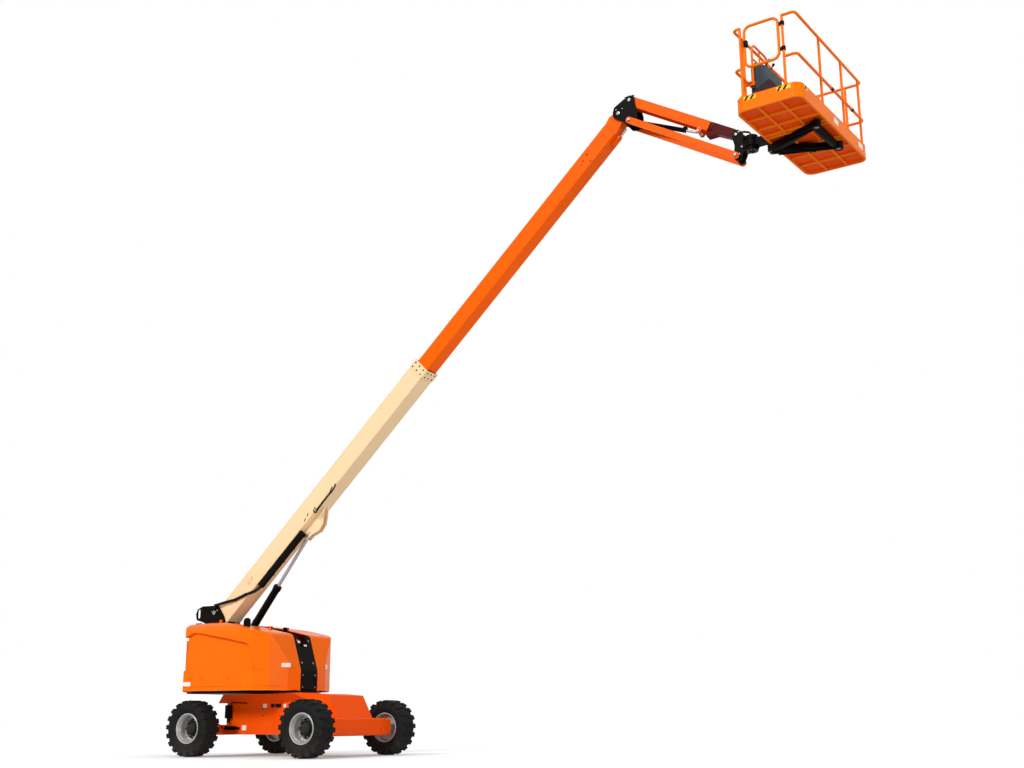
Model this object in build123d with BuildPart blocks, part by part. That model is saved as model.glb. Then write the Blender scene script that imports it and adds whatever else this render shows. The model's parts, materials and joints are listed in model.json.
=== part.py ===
from build123d import *
from math import cos, radians, sin
import os

# Telescopic boom lift with a jib and a work platform, boom raised and fully extended.
# Millimetres. +X is the way the boom points, +Y the left side, +Z up.
# The origin is on the ground under the slew axis, midway between the four wheels.

os.makedirs("parts", exist_ok=True)

# Driving dimensions: wheels
wheelbase = 2210
track = 2000
tyre_radius = 415
tyre_width = 300
tread_depth = 34
tyre_bulge = 60
shoulder_drop = 48
shoulder_width = 21
lugs_per_row = 13
lug_root = 14
lug_lean = 44
lug_foot = 26
bead_radius = 204
rim_flange_radius = 222
rim_width = 240
rim_wall = 9
rim_lip = 12
tyre_wall = 26
rim_disc_offset = -30
hub_radius = 98
spindle_radius = 38
running_gap = 0.3
seat_gap = 0.3

# Driving dimensions: chassis
chassis_half_width = 420
chassis_plate = 16
chassis_bottom_z = 320
chassis_rear_x = -960
chassis_front_x = 1215
deck_half_width = 560
deck_top_z = 917
axle_half_length = 868
axle_beam_width = 265
axle_top_z = 556
axle_bottom_z = 300
kingpin_y = 745
fork_plate = 26
fork_low_z = 300
fork_high_z = 504
fork_width = 120
knuckle_boss_radius = 52
knuckle_hub_radius = 74
tie_rod_z = 416
tie_rod_radius = 16
steer_barrel_radius = 38
steer_arm = 170
slew_ring_radius = 420
slew_ring_gap = 0.3

# Driving dimensions: turntable
table_bottom_z = 936
table_plate = 22
upright_inner_y = 158
upright_plate = 22
cover_half_width = 196
cover_front_x = 292
cover_top_x = 118
cover_plate = 14
hood_inner_y = 205
hood_half_width = 950
hood_bottom_z = 965
hood_wall = 9
hood_front_x = 300
hood_rear_x = -1480
hood_limit_z = 2200
hood_crease_z = 1275
hood_crease_step = 26
hood_lean = 34
hood_hinge_y = 205
hood_hinge_height = 2045
hood_hinge_fall = 0.1333
hood_hinge_pin_radius = 8
hood_knuckle_radius = 16
counterweight_radius = 1800
counterweight_front_x = -1540.3
counterweight_half_width = 640
counterweight_top_z = 1750

# Driving dimensions: boom
boom_angle = 43.7
pivot_x = -1560
pivot_z = 2220
pivot_pin_radius = 38
base_depth = 300
base_width = 300
base_top_w = 15
base_wall = 8
base_length = 5370
base_front_band = 150
fly_depth = 244
fly_width = 250
fly_top_w = -18
fly_wall = 6
fly_overlap = 1070
fly_length = 5630
fly_pad_length = 120
hose_bundle_radius = 17
lift_base_x = -1445
lift_base_z = 1250
lift_eye_u = 2060
lift_eye_w = -385
lift_barrel_length = 1715
lift_barrel_radius = 58
lift_rod_radius = 27
lift_eye_radius = 44
lift_eye_half = 30
lift_bore_start = 190
lift_rod_start = 1010
lift_lug_gap = 38

# Driving dimensions: jib
nose_reach = 264
nose_w = -87
nose_plate = 20
nose_inner_y = 98
jib_pin_radius = 24
jib_rise = 175
jib_reach = 180
jib_post = 340
jib_drop = 30.5
jib_length = 1860
jib_depth = 144
jib_half_width = 90
jib_wall = 9
jib_channel_end = 1400
jib_eye_s = 1277
jib_eye_t = -113
jib_barrel_length = 842
jib_barrel_radius = 34
jib_rod_radius = 18
jib_eye_radius = 34
jib_base_reach = 50
jib_base_drop = 325
jib_base_pin_radius = 20
link_inner_y = 131
link_thickness = 32
link_depth = 96

# Driving dimensions: platform
rotator_reach = 196
rotator_radius = 104
platform_reach = 765
platform_drop = 281
platform_yaw = -4.5
platform_floor_rise = 46
platform_length = 2440
platform_width = 910
platform_corner = 130
skirt_height = 200
skirt_wall = 5
rail_height = 1150
rail_radius = 19
tube_sides = 12
post_radius = 17.5
rail_mid_rise = 560
rail_bend = 55
rail_out = 24
gate_left = -338
gate_right = 255
gate_inset = 60
gate_bend = 90
deck_plate_inset = 80
deck_plate_thickness = 3
support_depth = 80
support_hub_y = 395
support_hub_radius = 60

# Places worked out from the sizes
hub_z = tyre_radius
table_top_z = table_bottom_z + table_plate
fly_start = base_length - fly_overlap
fly_end = fly_start + fly_length
nose_u = fly_end + nose_reach
steer_x = -wheelbase / 2
drive_x = wheelbase / 2
boom_dir = Vector(cos(radians(boom_angle)), 0, sin(radians(boom_angle)))
boom_up = Vector(-sin(radians(boom_angle)), 0, cos(radians(boom_angle)))
pivot = Vector(pivot_x, 0, pivot_z)
boom_side = Plane(origin=pivot, x_dir=boom_dir, z_dir=(0, -1, 0))
nose_point = pivot + boom_dir * nose_u + boom_up * nose_w
jib_dir = Vector(cos(radians(jib_drop)), 0, -sin(radians(jib_drop)))
jib_upper = nose_point + Vector(jib_reach, 0, jib_rise)
jib_lower = jib_upper - Vector(0, 0, jib_post)
end_upper = jib_upper + jib_dir * jib_length
end_lower = jib_lower + jib_dir * jib_length
jib_side = Plane(origin=jib_upper, x_dir=jib_dir, z_dir=(0, -1, 0))
link_side = Plane(origin=jib_lower, x_dir=jib_dir, z_dir=(0, -1, 0))
row_side = Plane(origin=(0, 0, 0), x_dir=(1, 0, 0), z_dir=(0, -1, 0))
rotator_x = end_upper.X + rotator_reach
hood_hinge_places = (-1400, -360)
platform_x = rotator_x + platform_reach
platform_bottom_z = end_upper.Z - platform_drop
platform_slew = Axis((rotator_x, 0, 0), (0, 0, 1))


def boom_section(u):
    """Plane across the boom, u along it, with +Y to the side and up in its y."""
    return Plane(origin=pivot + boom_dir * u, x_dir=(0, 1, 0), z_dir=boom_dir)


def hood_hinge_plane(x, side):
    """Plane across the hood's tilted hinge line at a place along it."""
    height = hood_hinge_height - (x + 1100) * hood_hinge_fall
    return Plane(
        origin=(x, side * hood_hinge_y, height),
        x_dir=(0, 1, 0),
        z_dir=(1, 0, -hood_hinge_fall),
    )


def keep(node, shape):
    """Label a finished solid and write its file."""
    shape.label = node
    export_step(shape, f"parts/{node}.step")


def keep_on_platform(node, shape):
    """Turn a solid with the slewed platform, then keep it."""
    keep(node, shape.rotate(platform_slew, platform_yaw))


def bar(points, radius, bend=None):
    """A tube of twelve sides through points, its corners bent to one radius."""
    with BuildPart(mode=Mode.PRIVATE) as tube:
        with BuildLine() as path:
            if bend:
                FilletPolyline(*points, radius=bend)
            else:
                Polyline(*points)
        with BuildSketch(Plane(origin=path.line @ 0, z_dir=path.line % 0)):
            RegularPolygon(radius, side_count=tube_sides, major_radius=False)
        sweep()
    return tube.part


# Wheels
def tyre(x, y):
    """A tyre with two rows of slanted lugs."""
    half = tyre_width / 2
    seat_half = rim_width / 2 - rim_lip - seat_gap
    carcass = tyre_radius - tread_depth
    shoulder = half - shoulder_width
    with BuildPart() as body:
        with BuildSketch(Plane.YZ):
            with BuildLine():
                Polyline(
                    (-seat_half, bead_radius),
                    (-seat_half, rim_flange_radius + 4),
                    (-half, rim_flange_radius + tyre_bulge),
                    (-half, carcass - shoulder_drop),
                    (-shoulder, carcass),
                    (shoulder, carcass),
                    (half, carcass - shoulder_drop),
                    (half, rim_flange_radius + tyre_bulge),
                    (seat_half, rim_flange_radius + 4),
                    (seat_half, bead_radius),
                    (seat_half - tyre_wall, bead_radius),
                    (half - tyre_wall, rim_flange_radius + tyre_bulge + 14),
                    (shoulder - tyre_wall, carcass - tyre_wall),
                    (-shoulder + tyre_wall, carcass - tyre_wall),
                    (-half + tyre_wall, rim_flange_radius + tyre_bulge + 14),
                    (-seat_half + tyre_wall, bead_radius),
                    close=True,
                )
            make_face()
        revolve(axis=Axis.Y)
        pitch = 360 / lugs_per_row
        for row, offset in ((1, 0), (-1, 0.5)):
            for i in range(lugs_per_row):
                angle = (i + offset) * pitch
                with BuildSketch(Plane.XY.rotated((0, angle, 0)).offset(carcass - lug_root)):
                    Polygon(
                        (-lug_foot, row * 4),
                        (lug_foot - 6, row * 4),
                        (lug_lean, row * half),
                        (-lug_foot / 2, row * half),
                        align=None,
                    )
                extrude(amount=tread_depth + lug_root)
    return body.part.moved(Location((x, y, hub_z)))


def rim(x, y, side):
    """A steel rim, dished on its outer side, with its bolted hub."""
    half = rim_width / 2
    seat = bead_radius - seat_gap
    with BuildPart() as body:
        with BuildSketch(Plane.YZ):
            with BuildLine():
                Polyline(
                    (-half, rim_flange_radius),
                    (-half, rim_flange_radius - 16),
                    (-half + 26, seat - rim_wall),
                    (rim_disc_offset - 6, seat - rim_wall - 6),
                    (rim_disc_offset - 6, hub_radius),
                    (rim_disc_offset - 70, hub_radius - 8),
                    (rim_disc_offset - 70, spindle_radius + running_gap),
                    (rim_disc_offset + 58, spindle_radius + running_gap),
                    (rim_disc_offset + 58, 0),
                    (rim_disc_offset + 74, 0),
                    (rim_disc_offset + 74, 52),
                    (rim_disc_offset + 40, 74),
                    (rim_disc_offset + 8, hub_radius),
                    (rim_disc_offset + 8, seat - rim_wall - 18),
                    (half - 60, seat - rim_wall - 16),
                    (half - 26, seat - rim_wall),
                    (half, rim_flange_radius - 16),
                    (half, rim_flange_radius),
                    (half - rim_lip, rim_flange_radius),
                    (half - rim_lip, seat),
                    (-half + rim_lip, seat),
                    (-half + rim_lip, rim_flange_radius),
                    close=True,
                )
            make_face()
        revolve(axis=Axis.Y)
    placed = body.part if side > 0 else body.part.mirror(Plane.XZ)
    return placed.moved(Location((x, y, hub_z)))


# name, x, side
wheel_table = (
    ("steer_right", steer_x, -1),
    ("steer_left", steer_x, 1),
    ("drive_right", drive_x, -1),
    ("drive_left", drive_x, 1),
)
for name, x, side in wheel_table:
    keep(f"tyre_{name}", tyre(x, side * track / 2))
    keep(f"rim_{name}", rim(x, side * track / 2, side))

# Chassis
with BuildPart() as chassis_frame:
    with BuildSketch(row_side) as chassis_profile:
        with BuildLine():
            Polyline(
                (chassis_rear_x, chassis_bottom_z),
                (chassis_front_x - 230, chassis_bottom_z),
                (chassis_front_x - 230, axle_top_z + seat_gap),
                (chassis_front_x, axle_top_z + seat_gap),
                (chassis_front_x - 190, 890),
                (700, deck_top_z),
                (chassis_rear_x, 800),
                close=True,
            )
        make_face()
    extrude(amount=chassis_half_width, both=True)
    with BuildSketch(Plane.XY.offset(790)):
        with Locations(((-1150 + 700) / 2, 0)):
            Rectangle(700 + 1150, 2 * chassis_half_width)
    with BuildSketch(Plane.XY.offset(deck_top_z)):
        with Locations(((-930 + 480) / 2, 0)):
            Rectangle(480 + 930, 2 * deck_half_width)
    loft()
    with BuildSketch(row_side):
        offset(chassis_profile.sketch, amount=-chassis_plate, kind=Kind.INTERSECTION)
    extrude(amount=chassis_half_width - chassis_plate, both=True, mode=Mode.SUBTRACT)
    with BuildSketch(Plane.XY.offset(deck_top_z)):
        Circle(slew_ring_radius)
    extrude(amount=table_bottom_z - deck_top_z - slew_ring_gap)
keep("chassis_frame", chassis_frame.part)

with BuildPart() as drive_axle:
    with BuildSketch(row_side):
        with Locations((drive_x + 12, (axle_top_z + axle_bottom_z) / 2)):
            RectangleRounded(axle_beam_width - 2, axle_top_z - axle_bottom_z, 30)
    extrude(amount=axle_half_length - 120, both=True)
    with BuildSketch(row_side):
        with Locations((drive_x + 12, hub_z + 8)):
            RectangleRounded(axle_beam_width - 30, axle_top_z - axle_bottom_z - 26, 26)
    extrude(amount=axle_half_length, both=True)
    with BuildSketch(row_side):
        with Locations((drive_x, hub_z)):
            Circle(spindle_radius)
    extrude(amount=track / 2 + rim_disc_offset + 50, both=True)
    with BuildSketch(row_side):
        with Locations((drive_x + 12, (axle_top_z + axle_bottom_z) / 2)):
            RectangleRounded(axle_beam_width - 34, axle_top_z - axle_bottom_z - 60, 12)
    extrude(amount=axle_half_length - 160, both=True, mode=Mode.SUBTRACT)
keep("drive_axle", drive_axle.part)

with BuildPart() as steer_axle:
    with BuildSketch(row_side):
        with Locations((steer_x, 390)):
            RectangleRounded(170, 150, 20)
    extrude(amount=kingpin_y - 130, both=True)
    for side in (1, -1):
        for z in (fork_low_z, fork_high_z):
            with BuildSketch(Plane.XY.offset(z)):
                with Locations((steer_x, side * (kingpin_y - 45))):
                    Rectangle(fork_width, 210)
                with Locations((steer_x, side * kingpin_y)):
                    Circle(fork_width / 2 + 4)
            extrude(amount=fork_plate)
        with BuildSketch(Plane.XY.offset(fork_low_z)):
            with Locations((steer_x + 15, side * (kingpin_y - 120))):
                Rectangle(90, 60)
        extrude(amount=fork_high_z - fork_low_z + fork_plate)
    with BuildSketch(Plane.XY.offset(330)):
        with Locations(((steer_x + 80 + chassis_rear_x - seat_gap) / 2, 0)):
            Rectangle(chassis_rear_x - seat_gap - steer_x - 80, 260)
    extrude(amount=120)
keep("steer_axle", steer_axle.part)

for name, x, side in wheel_table[:2]:
    with BuildPart() as knuckle:
        with BuildSketch(Plane.XY.offset(fork_low_z + fork_plate + running_gap)):
            with Locations((x, side * kingpin_y)):
                Circle(knuckle_boss_radius)
        extrude(amount=fork_high_z - fork_low_z - fork_plate - 2 * running_gap)
        with BuildSketch(row_side.offset(-side * kingpin_y)):
            with Locations((x, hub_z)):
                Circle(knuckle_hub_radius)
        extrude(amount=-side * 100)
        with BuildSketch(row_side.offset(-side * kingpin_y)):
            with Locations((x, hub_z)):
                Circle(spindle_radius)
        extrude(amount=-side * (track / 2 + rim_disc_offset + 50 - kingpin_y))
        with BuildSketch(Plane.XY.offset(370)):
            with BuildLine():
                Polyline(
                    (x - 20, side * (kingpin_y - 46)),
                    (x - 20, side * (kingpin_y + 46)),
                    (x - steer_arm - 24, side * (kingpin_y - 20)),
                    (x - steer_arm - 24, side * (kingpin_y - 66)),
                    close=True,
                )
            make_face()
        extrude(amount=24)
    keep(f"knuckle_{name}", knuckle.part)

with BuildPart() as tie_rod:
    with BuildSketch(row_side):
        with Locations((steer_x - steer_arm, tie_rod_z)):
            Circle(tie_rod_radius)
    extrude(amount=kingpin_y - 30, both=True)
keep("tie_rod", tie_rod.part)

with BuildPart() as steer_cylinder:
    with BuildSketch(row_side):
        with Locations((steer_x - steer_arm, tie_rod_z)):
            Circle(steer_barrel_radius)
            Circle(tie_rod_radius + running_gap, mode=Mode.SUBTRACT)
    extrude(amount=230, both=True)
    for y in (-170, 170):
        with BuildSketch(row_side.offset(y - 15)):
            with Locations((steer_x - 85 - 33 - seat_gap / 2, tie_rod_z)):
                Rectangle(66 - seat_gap, 60)
        extrude(amount=30)
        with BuildSketch(row_side.offset(y - 16)):
            with Locations((steer_x - steer_arm, tie_rod_z)):
                Circle(tie_rod_radius + running_gap)
        extrude(amount=32, mode=Mode.SUBTRACT)
keep("steer_cylinder", steer_cylinder.part)

# Turntable
with BuildPart() as turntable_frame:
    with BuildSketch(Plane.XY.offset(table_bottom_z)):
        with BuildLine():
            Polyline(
                (-1700, -560),
                (-1500, -620),
                (-300, -880),
                (60, -560),
                (300, -200),
                (300, 200),
                (60, 560),
                (-300, 880),
                (-1500, 620),
                (-1700, 560),
                close=True,
            )
        make_face()
    extrude(amount=table_plate)
    for y in (upright_inner_y, -upright_inner_y - upright_plate):
        with BuildSketch(row_side.offset(y)):
            with BuildLine():
                Polyline(
                    (-1540, table_bottom_z),
                    (-1540, 1770),
                    (-1730, 1800),
                    (-1760, 2060),
                    (-1950, 2120),
                    (-1970, 2210),
                    (-1940, 2290),
                    (-1830, 2335),
                    (-1500, 2335),
                    (-1370, 2160),
                    (-1310, 2010),
                    (-1000, 1790),
                    (-400, 1735),
                    (-400, 1960),
                    (-340, 1960),
                    (-340, 1730),
                    (0, 1700),
                    (136, 1700),
                    (cover_front_x - cover_plate - seat_gap, hood_crease_z - 4),
                    (cover_front_x - cover_plate - seat_gap, table_bottom_z),
                    close=True,
                )
            make_face()
            with Locations((-1905, 2215)):
                SlotOverall(150, 60, rotation=90, mode=Mode.SUBTRACT)
        extrude(amount=upright_plate)
    with BuildSketch(row_side):
        with Locations((pivot_x, pivot_z)):
            Circle(pivot_pin_radius)
    extrude(amount=upright_inner_y + upright_plate + 14, both=True)
    with BuildSketch(row_side):
        with Locations((lift_base_x, lift_base_z)):
            Circle(34)
    extrude(amount=upright_inner_y + 4, both=True)
    for x in hood_hinge_places:
        for side in (1, -1):
            with BuildSketch(hood_hinge_plane(x - 26, side)):
                with Locations((-side * 12.5, 0)):
                    Rectangle(41, 20)
            extrude(amount=18)
            with BuildSketch(hood_hinge_plane(x - 20, side)):
                Circle(hood_hinge_pin_radius)
            extrude(amount=58)
keep("turntable_frame", turntable_frame.part)

with BuildPart() as counterweight:
    with BuildSketch(Plane.XY.offset(table_bottom_z + table_plate + seat_gap)) as plan:
        Circle(counterweight_radius)
        with Locations((counterweight_front_x - 1000, 0)):
            Rectangle(2000, 2 * counterweight_half_width, mode=Mode.INTERSECT)
    extrude(amount=counterweight_top_z - table_bottom_z - table_plate - seat_gap)
keep("counterweight", counterweight.part)

with BuildPart() as centre_cover:
    with BuildSketch(row_side):
        with BuildLine():
            Polyline(
                (cover_front_x - cover_plate, table_top_z + seat_gap),
                (cover_front_x, table_top_z + seat_gap),
                (cover_front_x, hood_crease_z),
                (cover_top_x, 1800),
                (cover_top_x - cover_plate, 1800),
                (cover_front_x - cover_plate, hood_crease_z - 4),
                close=True,
            )
        make_face()
    extrude(amount=cover_half_width, both=True)
    with BuildSketch(Plane.YZ.offset(-100)):
        with Locations((0, 1725)):
            Rectangle(170, 190)
    extrude(amount=600, mode=Mode.SUBTRACT)
keep("centre_cover", centre_cover.part)

for name, side in (("engine_block", -1), ("tank_block", 1)):
    with BuildPart() as block:
        with BuildSketch(Plane.XY.offset(table_bottom_z + table_plate + seat_gap)):
            with Locations((-760, side * 540)):
                Rectangle(780, 460)
        extrude(amount=520)
        fillet(block.edges().filter_by(Axis.Z), 30)
    keep(name, block.part)


def hood_plan(inset, inner):
    """Corners of the left hood seen from above, moved in by an inset."""
    return (
        (hood_rear_x + inset, inner),
        (hood_rear_x + inset, 880 - inset * 0.5),
        (hood_rear_x + 70 + inset * 0.5, hood_half_width - inset),
        (-300, hood_half_width - inset),
        (-60 - inset * 0.4, 900 - inset),
        (120 - inset, 730 - inset * 0.5),
        (255 - inset, 450),
        (hood_front_x - inset, inner),
    )


def hood_body(inset, bottom, inner):
    """The left hood as crossed prisms with its recessed rear panel; inset gives its inner wall."""
    with BuildPart() as panel_core:
        with BuildSketch(Plane.XY.offset(hood_crease_z - 60)):
            Polygon(*hood_plan(hood_crease_step + inset, inner - 100), align=None)
        with BuildSketch(Plane.XY.offset(1960)):
            Polygon(*hood_plan(hood_crease_step + hood_lean + inset, inner - 100), align=None)
        loft()
    with BuildPart() as panel:
        with BuildSketch(row_side) as panel_view:
            with BuildLine():
                Polyline(
                    (-1700, hood_crease_z),
                    (-34, hood_crease_z),
                    (-60, 1490),
                    (-110, 1610),
                    (-190, 1667),
                    (-626, 1754),
                    (-1098, 1835),
                    (-1250, 1850),
                    (-1400, 1790),
                    (-1700, 1760),
                    close=True,
                )
            make_face()
            if inset > 0:
                offset(amount=inset, kind=Kind.INTERSECTION)
        extrude(amount=-1200)
        add(panel_core.part, mode=Mode.SUBTRACT)
    with BuildPart() as body:
        with BuildSketch(Plane.XY.offset(bottom)):
            Polygon(*hood_plan(inset, inner), align=None)
        extrude(amount=hood_limit_z - bottom)
        with BuildSketch(row_side):
            with BuildLine():
                Polyline(
                    (hood_rear_x + inset, bottom),
                    (hood_front_x - inset, bottom),
                    (hood_front_x - inset, hood_crease_z),
                    (128 - inset, 1790),
                    (86 - inset, 1824 - inset),
                    (-500, 1950 - inset),
                    (-1100, 2030 - inset),
                    (hood_rear_x + inset + 60, 2040 - inset),
                    (hood_rear_x + inset, 1990 - inset),
                    close=True,
                )
            make_face()
        extrude(amount=hood_half_width + 50, both=True, mode=Mode.INTERSECT)
        with BuildSketch(Plane.YZ):
            with BuildLine():
                shoulder = ThreePointArc(
                    (hood_half_width - inset, 1760),
                    (900 - inset, 1905 - inset * 0.5),
                    (770 - inset * 0.5, 1990 - inset),
                )
                Polyline(
                    shoulder @ 1,
                    (inner, 2062 - inset),
                    (inner, bottom),
                    (hood_half_width - inset, bottom),
                    shoulder @ 0,
                )
            make_face()
        extrude(amount=2500, both=True, mode=Mode.INTERSECT)
        add(panel.part, mode=Mode.SUBTRACT)
    return body.part


def hood_shell(side):
    """The left or right hood with its two hinge knuckles; side is +1 on the left."""
    outer = hood_body(0, hood_bottom_z, hood_inner_y)
    inner = hood_body(hood_wall, hood_bottom_z - 50, hood_inner_y - 50)
    with BuildPart() as shell:
        add(outer)
        for x in hood_hinge_places:
            with BuildSketch(hood_hinge_plane(x - 6, 1)):
                Circle(hood_knuckle_radius)
                with Locations((hood_knuckle_radius / 2, -60)):
                    Rectangle(hood_knuckle_radius, 120)
            extrude(amount=40)
        add(inner, mode=Mode.SUBTRACT)
        for x in hood_hinge_places:
            with BuildSketch(hood_hinge_plane(x - 20, 1)):
                Circle(hood_hinge_pin_radius + running_gap)
            extrude(amount=70, mode=Mode.SUBTRACT)
    return shell.part if side > 0 else shell.part.mirror(Plane.XZ)


for name, side in (("hood_left", 1), ("hood_right", -1)):
    keep(name, hood_shell(side))

with BuildPart() as exhaust_stack:
    with BuildSketch(Plane.XY.offset(1860)):
        with Locations((-440, -640)):
            Circle(54)
    extrude(amount=205)
    fillet(exhaust_stack.faces().sort_by(Axis.Z)[-1].edges(), 48)
    add(hood_body(-seat_gap, hood_bottom_z, hood_inner_y).mirror(Plane.XZ), mode=Mode.SUBTRACT)
keep("exhaust_stack", exhaust_stack.part)

# Boom
with BuildPart() as base_boom:
    with BuildSketch(boom_section(90)):
        with Locations((0, base_top_w - base_depth / 2)):
            RectangleRounded(base_width, base_depth, 14)
        with Locations((0, base_top_w - base_depth / 2)):
            Rectangle(base_width - 2 * base_wall, base_depth - 2 * base_wall, mode=Mode.SUBTRACT)
    extrude(amount=base_length - 90)
    for y in (base_width / 2 - 20, -base_width / 2):
        with BuildSketch(boom_side.offset(y)):
            with BuildLine():
                Polyline(
                    (-10, -70),
                    (20, base_top_w - base_depth),
                    (160, base_top_w - base_depth),
                    (160, base_top_w),
                    (60, 80),
                    (-60, 80),
                    (-95, 0),
                    close=True,
                )
            make_face()
            Circle(pivot_pin_radius + running_gap, mode=Mode.SUBTRACT)
        extrude(amount=20)
    for y in (lift_lug_gap, -lift_lug_gap - 18):
        with BuildSketch(boom_side.offset(y)):
            with BuildLine():
                Polyline(
                    (1960, base_top_w - base_depth + 2),
                    (2000, -430),
                    (2120, -445),
                    (2270, -505),
                    (2400, -480),
                    (2540, -365),
                    (2610, base_top_w - base_depth + 2),
                    close=True,
                )
            make_face()
        extrude(amount=18)
    with BuildSketch(boom_section(base_length - base_front_band)):
        with Locations((0, base_top_w - base_depth / 2)):
            RectangleRounded(base_width + 20, base_depth + 20, 20)
        with Locations((0, base_top_w - base_depth / 2)):
            Rectangle(base_width - 2, base_depth - 2, mode=Mode.SUBTRACT)
    extrude(amount=base_front_band)
    with BuildSketch(boom_section(base_length - fly_pad_length)):
        with Locations((0, base_top_w - base_depth / 2)):
            Rectangle(base_width - base_wall, base_depth - base_wall)
        with Locations((0, fly_top_w - fly_depth / 2)):
            Rectangle(fly_width + 2 * running_gap, fly_depth + 2 * running_gap, mode=Mode.SUBTRACT)
    extrude(amount=fly_pad_length)
keep("base_boom", base_boom.part)

with BuildPart() as hose_carrier:
    with BuildSketch(boom_section(915)):
        with Locations((-112, base_top_w - base_depth - 47 - seat_gap)):
            RectangleRounded(70, 94, 8)
    extrude(amount=1130)
keep("hose_carrier", hose_carrier.part)

boom_hose_points = (
    (-10, 62, -207),
    (110, 58, -207),
    (270, -40, -192),
    (430, -150, -176),
    (650, -255, -176),
    (790, -338, -166),
    (870, -338, -112),
    (914, -338, -112),
)
hose_route = [pivot + boom_dir * u + boom_up * w + Vector(0, y, 0) for u, w, y in boom_hose_points]
keep("boom_hoses", bar(hose_route, hose_bundle_radius, bend=35))

with BuildPart() as fly_boom:
    with BuildSketch(boom_section(fly_start)):
        with Locations((0, fly_top_w - fly_depth / 2)):
            RectangleRounded(fly_width, fly_depth, 12)
        with Locations((0, fly_top_w - fly_depth / 2)):
            Rectangle(fly_width - 2 * fly_wall, fly_depth - 2 * fly_wall, mode=Mode.SUBTRACT)
    extrude(amount=fly_end - fly_start)
    with BuildSketch(boom_section(fly_start)):
        with Locations((0, base_top_w - base_depth / 2)):
            Rectangle(
                base_width - 2 * base_wall - 2 * running_gap,
                base_depth - 2 * base_wall - 2 * running_gap,
            )
        with Locations((0, fly_top_w - fly_depth / 2)):
            Rectangle(fly_width - 2, fly_depth - 2, mode=Mode.SUBTRACT)
    extrude(amount=fly_pad_length)
    with BuildSketch(boom_side):
        with BuildLine():
            Polyline(
                (fly_end - 120, fly_top_w - 4),
                (fly_end - 60, fly_top_w - 2),
                (nose_u - 134, 22),
                (nose_u - 20, nose_w + 88),
                (nose_u + 60, nose_w + 60),
                (nose_u + 84, nose_w - 10),
                (nose_u + 40, nose_w - 78),
                (nose_u - 134, -235),
                (fly_end, fly_top_w - fly_depth),
                (fly_end - 120, fly_top_w - fly_depth),
                close=True,
            )
        make_face()
        with Locations((nose_u, nose_w)):
            Circle(30 + running_gap, mode=Mode.SUBTRACT)
    extrude(amount=nose_inner_y - 8, both=True)
    with BuildSketch(boom_side):
        with BuildLine():
            Polyline(
                (fly_end - 400, fly_top_w - 30),
                (fly_end - 20, fly_top_w - 30),
                (nose_u - 144, -20),
                (nose_u - 60, nose_w - 20),
                (nose_u - 164, -205),
                (fly_end - 400, -230),
                close=True,
            )
        make_face()
    extrude(amount=nose_inner_y - 30, both=True, mode=Mode.SUBTRACT)
keep("fly_boom", fly_boom.part)

# Lift cylinder
lift_base = Vector(lift_base_x, 0, lift_base_z)
lift_eye = pivot + boom_dir * lift_eye_u + boom_up * lift_eye_w
lift_span = (lift_eye - lift_base).length
lift_dir = (lift_eye - lift_base) / lift_span
lift_side = Plane(origin=lift_base, x_dir=lift_dir, z_dir=(0, -1, 0))


def cylinder_along(base, direction, start, end, radius):
    """A round bar between two distances from a point along a direction."""
    with BuildPart(mode=Mode.PRIVATE) as bar:
        with BuildSketch(Plane(origin=base + direction * start, x_dir=(0, 1, 0), z_dir=direction)):
            Circle(radius)
        extrude(amount=end - start)
    return bar.part


with BuildPart() as lift_barrel:
    add(cylinder_along(lift_base, lift_dir, 60, lift_barrel_length, lift_barrel_radius))
    with BuildSketch(lift_side):
        Circle(66)
        with Locations((45, 0)):
            Rectangle(90, 100)
    extrude(amount=52, both=True)
    with BuildSketch(lift_side):
        Circle(34 + running_gap)
    extrude(amount=60, both=True, mode=Mode.SUBTRACT)
    add(
        cylinder_along(
            lift_base, lift_dir, lift_bore_start, lift_barrel_length + 5, lift_rod_radius + running_gap
        ),
        mode=Mode.SUBTRACT,
    )
keep("lift_barrel", lift_barrel.part)

with BuildPart() as lift_rod:
    add(cylinder_along(lift_base, lift_dir, lift_rod_start, lift_span - 20, lift_rod_radius))
    with BuildSketch(Plane(origin=lift_eye, x_dir=lift_dir, z_dir=(0, -1, 0))):
        Circle(lift_eye_radius)
    extrude(amount=lift_eye_half, both=True)
keep("lift_rod", lift_rod.part)

# Jib
nose_side = Plane(origin=nose_point, x_dir=(1, 0, 0), z_dir=(0, -1, 0))
with BuildPart() as nose_bracket:
    for y in (nose_inner_y, -nose_inner_y - nose_plate):
        with BuildSketch(nose_side.offset(y)):
            with BuildLine():
                Polyline(
                    (-96, 30),
                    (-72, 112),
                    (100, 214),
                    (180, 250),
                    (252, 215),
                    (262, 120),
                    (300, -40),
                    (296, -160),
                    (240, -214),
                    (180, -228),
                    (120, -214),
                    (60, -140),
                    (-30, -88),
                    (-88, -40),
                    close=True,
                )
            make_face()
        extrude(amount=nose_plate)
    with BuildSketch(nose_side):
        Circle(30)
        with Locations((jib_reach, jib_rise)):
            Circle(jib_pin_radius)
        with Locations((jib_reach + jib_base_reach, jib_rise - jib_base_drop)):
            Circle(jib_base_pin_radius)
    extrude(amount=nose_inner_y + nose_plate + 10, both=True)
    for y in (nose_inner_y, -nose_inner_y):
        with BuildSketch(nose_side.offset(y)):
            with Locations((jib_reach, jib_rise - jib_post)):
                Circle(jib_pin_radius)
        extrude(amount=(link_inner_y + link_thickness + 12 - nose_inner_y) * (1 if y > 0 else -1))
    with BuildSketch(nose_side):
        with BuildLine():
            Polyline((-66, 110), (92, 204), (86, 214), (-72, 120), close=True)
        make_face()
    extrude(amount=nose_inner_y + 4, both=True)
keep("nose_bracket", nose_bracket.part)

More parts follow.
